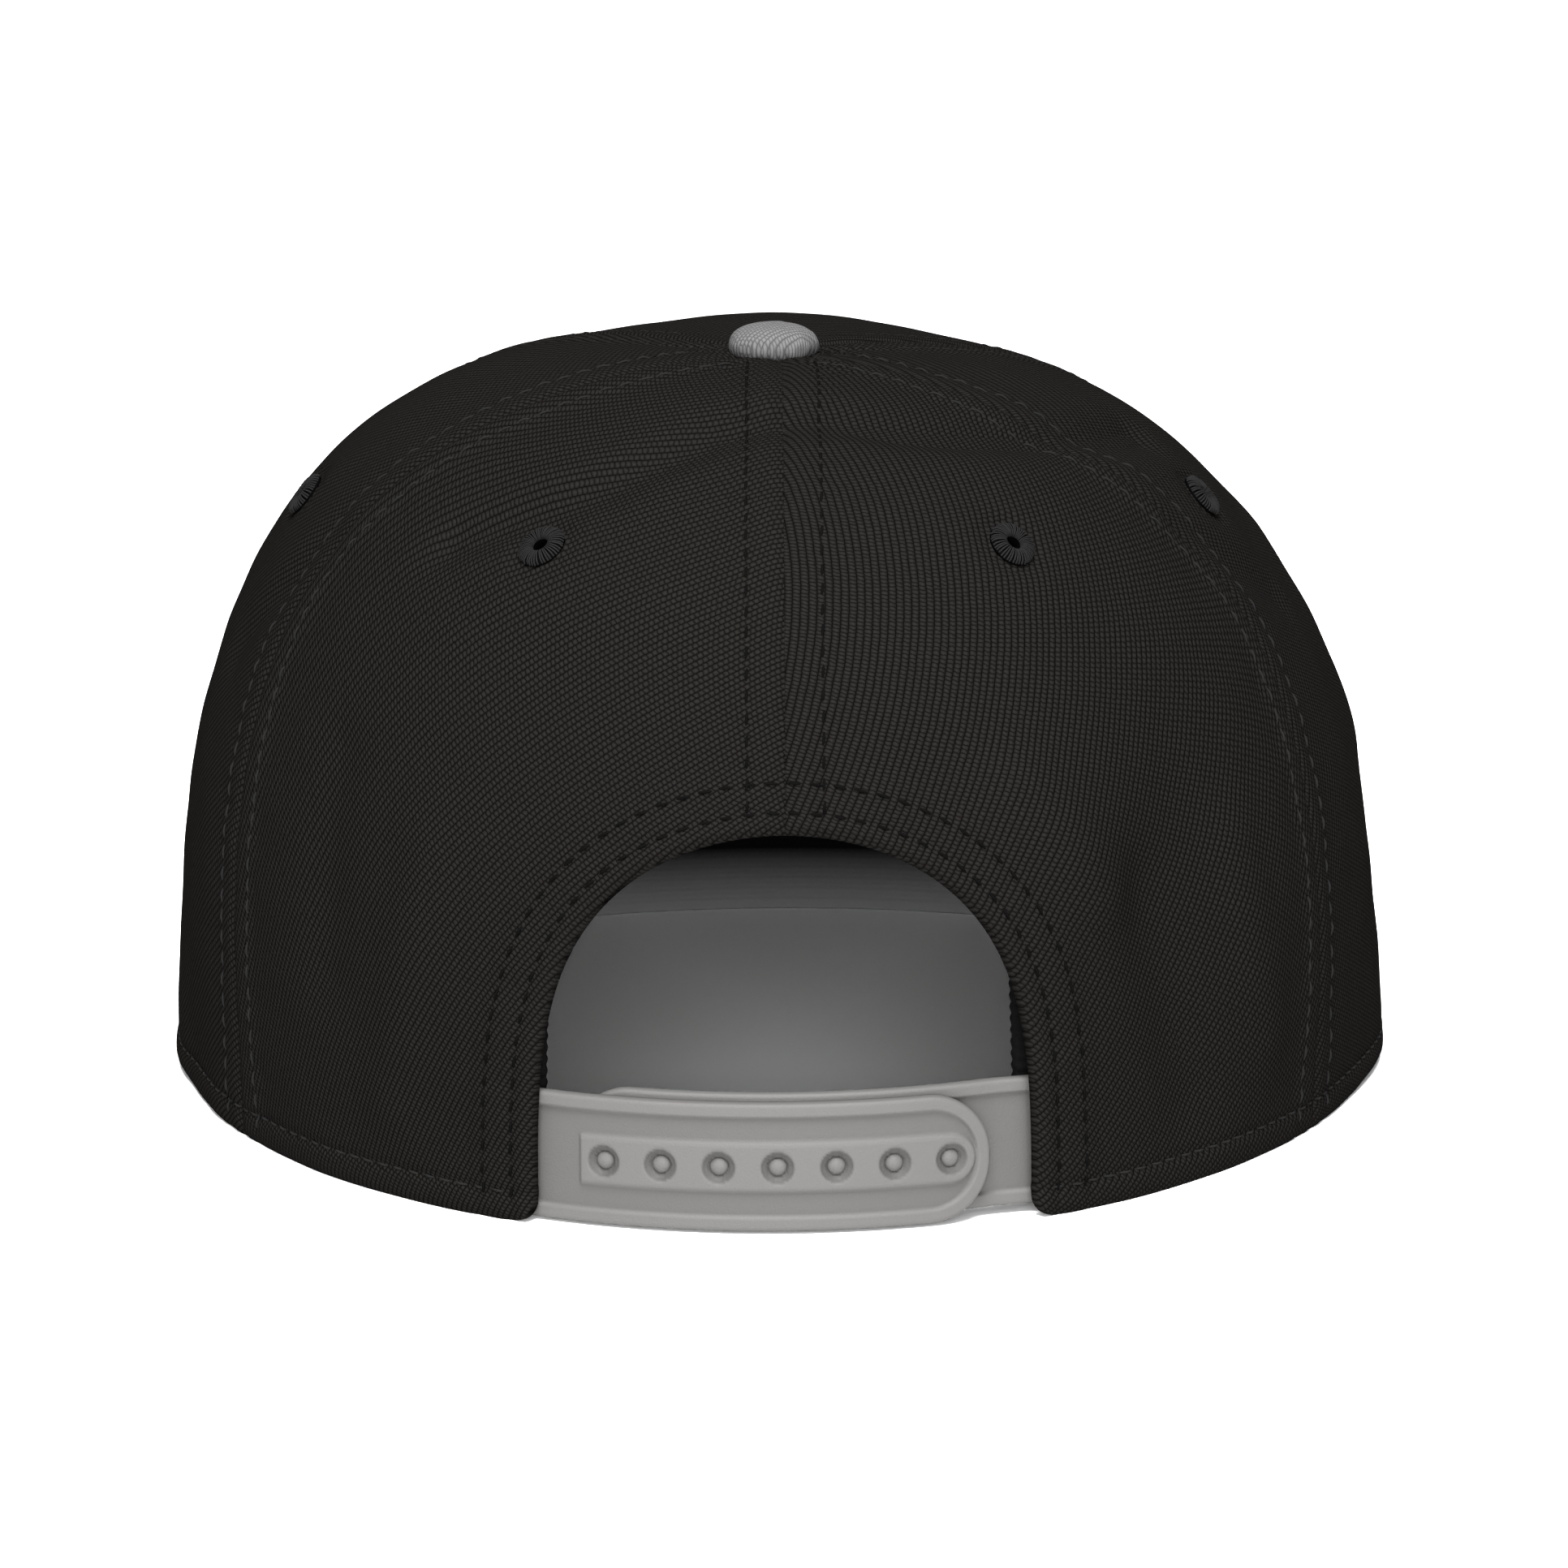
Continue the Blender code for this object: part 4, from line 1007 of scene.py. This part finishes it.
def strap_half(name, tip, root, low, inset_at, has_holes):
    """Half of the strap: rails around a sunk face, with a raised band of holes or with pegs."""
    length = np.linspace(tip, root, 320)
    toward = 1.0 if root > tip else -1.0
    corner = np.clip(STRAP_CORNER - (length - tip) * toward, 0.0, STRAP_CORNER)
    half = STRAP_HEIGHT / 2.0 - STRAP_CORNER + np.sqrt(STRAP_CORNER ** 2 - corner ** 2)
    share = np.linspace(-1.0, 1.0, 66)
    share = share + 0.35 * np.sin(math.pi * share) / math.pi
    length = np.repeat(length[None, :], len(share), axis=0)
    height = share[:, None] * half[None, :]
    margin = strap_margin(length, height, tip, toward)
    out = STRAP_THICK + STRAP_RELIEF * ease((RAIL_WIDTH + 0.0002 - margin) / 0.0004)
    shade = 0.0
    if has_holes:
        out, shade = hole_band(length, height, out)
    out = out - 0.00035 * np.clip(1.0 - margin / 0.0005, 0.0, 1.0) ** 2
    middle = low + STRAP_HEIGHT / 2.0
    outer = bend(length, height + middle, out, inset_at(length))
    inner = bend(length, height + middle, 0.0 * out, inset_at(length))
    # Painted light and shade: raised rails and band lighter, the sunk face and the holes darker, the
    # pegs lightest
    painted_shading = np.clip((out - STRAP_THICK + STRAP_RELIEF) / (2.0 * STRAP_RELIEF), 0.0, 1.0) - shade
    if toward < 0:
        outer, inner, painted_shading = outer[:, ::-1], inner[:, ::-1], painted_shading[:, ::-1]
    points, faces, ring = shell(outer, inner, 0.0001)
    painted_shading = np.concatenate([painted_shading.ravel(), painted_shading.ravel(), painted_shading.ravel()[ring]])
    if not has_holes:
        peg_points, peg_faces = pegs(inset_at)
        faces = np.concatenate([faces, peg_faces + len(points)])
        points = np.concatenate([points, peg_points])
        painted_shading = np.concatenate([painted_shading, np.ones(len(peg_points))])
    painted_shading_map = np.stack([painted_shading, painted_shading], -1)
    piece(name + "_plastic", points, faces, grey_plastic, (name,), painted_shading_map)


strap_half("strap_socket_half", -STRAP_TIP, ROOT_LEFT, STRAP_LIFT,
           lambda length: np.full_like(length, STRAP_INSET), True)
strap_half("strap_peg_half", STRAP_TIP, ROOT_RIGHT, STRAP_LIFT + PEG_HALF_RISE, peg_inset, False)


def sweatband():
    """Ribbed band inside the rim, open at the back."""
    rows, columns = 110, 260
    first = float(np.interp(EDGE_LEFT - BAND_SHOWS_LEFT, strap_lengths, strap_azimuths))
    last = 360.0 + float(np.interp(EDGE_RIGHT + BAND_SHOWS_RIGHT, strap_lengths, strap_azimuths))
    azimuth = wrap(np.linspace(first, last, columns))[None, :]
    height = np.linspace(0.0, SWEATBAND_TALL, rows)[:, None]
    root = max(abs(float(np.interp(length, strap_lengths, strap_azimuths)))
               for length in (ROOT_LEFT, ROOT_RIGHT))
    inset = CLOTH + GAP + STACK * ease((root * 1.35 - np.abs(azimuth)) / (root * 0.3))
    length = np.interp(azimuth, strap_azimuths, strap_lengths)
    behind = (azimuth < 0) & (np.abs(azimuth) < root * 1.3)
    inset = inset + np.where(behind, peg_inset(length) - STRAP_INSET, 0.0)
    rib = BAND_RIB * np.sin(2.0 * math.pi * height / BAND_RIB_PITCH)
    column = np.arange(columns)
    raised = BAND_RAISE * ease(1.0 - np.minimum(column, column[::-1]) / 6.0)[None, :]
    height = height + raised * (1.0 - height / SWEATBAND_TALL)
    azimuth, height, inset = (np.broadcast_to(a, (rows, columns)) for a in (azimuth, height, inset))
    height = height + SWEATBAND_LIFT * ease((130.0 - np.abs(azimuth)) / 30.0)
    outer = wall_point(azimuth, height, inset - rib)
    inner = wall_point(azimuth, height, inset + SWEATBAND_THICK + rib)
    points, faces, _ = shell(outer, inner, 0.0003)
    points[:, 2] = np.maximum(points[:, 2], 0.0)
    piece("sweatband_ribbing", points, faces, black_ribbing, ("sweatband",))


sweatband()


# Visor


def visor_place(share, out):
    """Plan of the visor: share from -1 to 1 across its spread, out from 0 at the rim to 1."""
    share, out = np.broadcast_arrays(share, out)
    azimuth = 180.0 + VISOR_SPREAD * share
    normal = crown_frame(azimuth, np.zeros_like(azimuth))[0].copy()
    normal[..., 2] = 0.0
    normal = unit(normal)
    reach = VISOR_LENGTH * np.maximum(1.0 - np.abs(share) ** 2.5, 0.0) ** 0.9
    return crown(azimuth, 0.0) + normal * (GAP + reach * out)[..., None], reach


def visor():
    """Flat visor with rounded edges, and its rows of stitches above and below."""
    widest = 0.975
    share = widest * np.linspace(-1.0, 1.0, 150)[None, :]
    out = 1.0 - (1.0 - np.linspace(0.0, 1.0, 90)) ** 1.35
    plan, reach = visor_place(share, out[:, None])
    edge = np.minimum((1.0 - out[:, None]) * reach, out[:, None] * reach + 0.0006)
    side = (widest - np.abs(share)) * math.radians(VISOR_SPREAD) * CROWN_WIDTH / 2.0 + 0.0004
    edge = np.minimum(edge, np.broadcast_to(side, edge.shape))
    half = VISOR_THICK / 2.0
    swell = half * np.sqrt(1.0 - np.clip(1.0 - edge / half, 0.0, 1.0) ** 2)
    for row in VISOR_ROWS:
        swell = swell - 0.0003 * bell((1.0 - out[:, None]) * reach - row, 0.0007)
    swell = swell + 0.00005 * waves(plan, 0.02, 31)
    top, under = plan.copy(), plan.copy()
    top[..., 2] = half + np.minimum(swell, half)
    under[..., 2] = np.maximum(half - swell, 0.0)
    points, faces, ring = shell(top, under, 0.0001)
    weave = plan[..., :2].reshape(-1, 2) @ np.array([[0.71, 0.71], [-0.71, 0.71]]) / MM
    weave = np.concatenate([weave, weave, weave[ring]])
    piece("visor_cloth", points, faces, grey_twill, ("visor",), weave)
    paths = []
    for row in VISOR_ROWS:
        share = np.linspace(-0.93, 0.93, 400)
        reach = visor_place(share, np.zeros_like(share))[1]
        share, reach = share[reach > row + 0.003], reach[reach > row + 0.003]
        path = visor_place(share, 1.0 - row / reach)[0]
        for level, way in ((VISOR_THICK - 0.0002, 1.0), (0.0002, -1.0)):
            path = path.copy()
            path[:, 2] = level
            paths.append((path, np.broadcast_to((0.0, 0.0, way), path.shape)))
    points, faces = sewing(paths)
    piece("visor_stitches", points, faces, grey_thread)


visor()


# Floor, light and camera


def studio():
    """White floor, dim white surroundings and the lamps."""
    scene = bpy.context.scene
    scene.view_settings.view_transform = 'Standard'
    bpy.ops.mesh.primitive_plane_add(size=FLOOR_SIZE, location=(0.0, 0.0, 0.0))
    floor = bpy.context.object
    floor.name = "floor"
    floor.data.materials.append(Nodes("floor_white").surface(grey(0.92), 0.9, 0.1))
    world = bpy.data.worlds.new("studio")
    world.use_nodes = True
    world.node_tree.nodes["Background"].inputs["Color"].default_value = grey(1.0)
    world.node_tree.nodes["Background"].inputs["Strength"].default_value = SKY_STRENGTH
    scene.world = world
    for name, place, width, tall, power in LAMPS:
        lamp = bpy.data.lights.new(name, 'AREA')
        lamp.shape = 'RECTANGLE'
        lamp.size, lamp.size_y = width, tall
        lamp.energy = power
        light = bpy.data.objects.new(name, lamp)
        scene.collection.objects.link(light)
        light.location = place
        away = Vector(place) - Vector(LAMP_TARGET)
        light.rotation_euler = away.to_track_quat('Z', 'Y').to_euler()


def camera():
    """Camera behind the cap, a little above it and turned slightly."""
    elevation, roll = math.radians(CAMERA_ELEVATION), math.radians(CAMERA_ROLL)
    back = Vector((0.0, math.cos(elevation), math.sin(elevation)))
    right = Vector((-1.0, 0.0, 0.0))
    up = back.cross(right)
    right, up = (right * math.cos(roll) + up * math.sin(roll),
                 up * math.cos(roll) - right * math.sin(roll))
    data = bpy.data.cameras.new("camera")
    data.lens = CAMERA_LENS
    data.sensor_width = 36.0
    data.clip_end = 100.0
    view = bpy.data.objects.new("camera", data)
    turn = Matrix((right, up, back)).transposed().to_4x4()
    view.matrix_world = Matrix.Translation(Vector(CAMERA_TARGET) + back * CAMERA_DISTANCE) @ turn
    bpy.context.scene.collection.objects.link(view)
    bpy.context.scene.camera = view


studio()
camera()
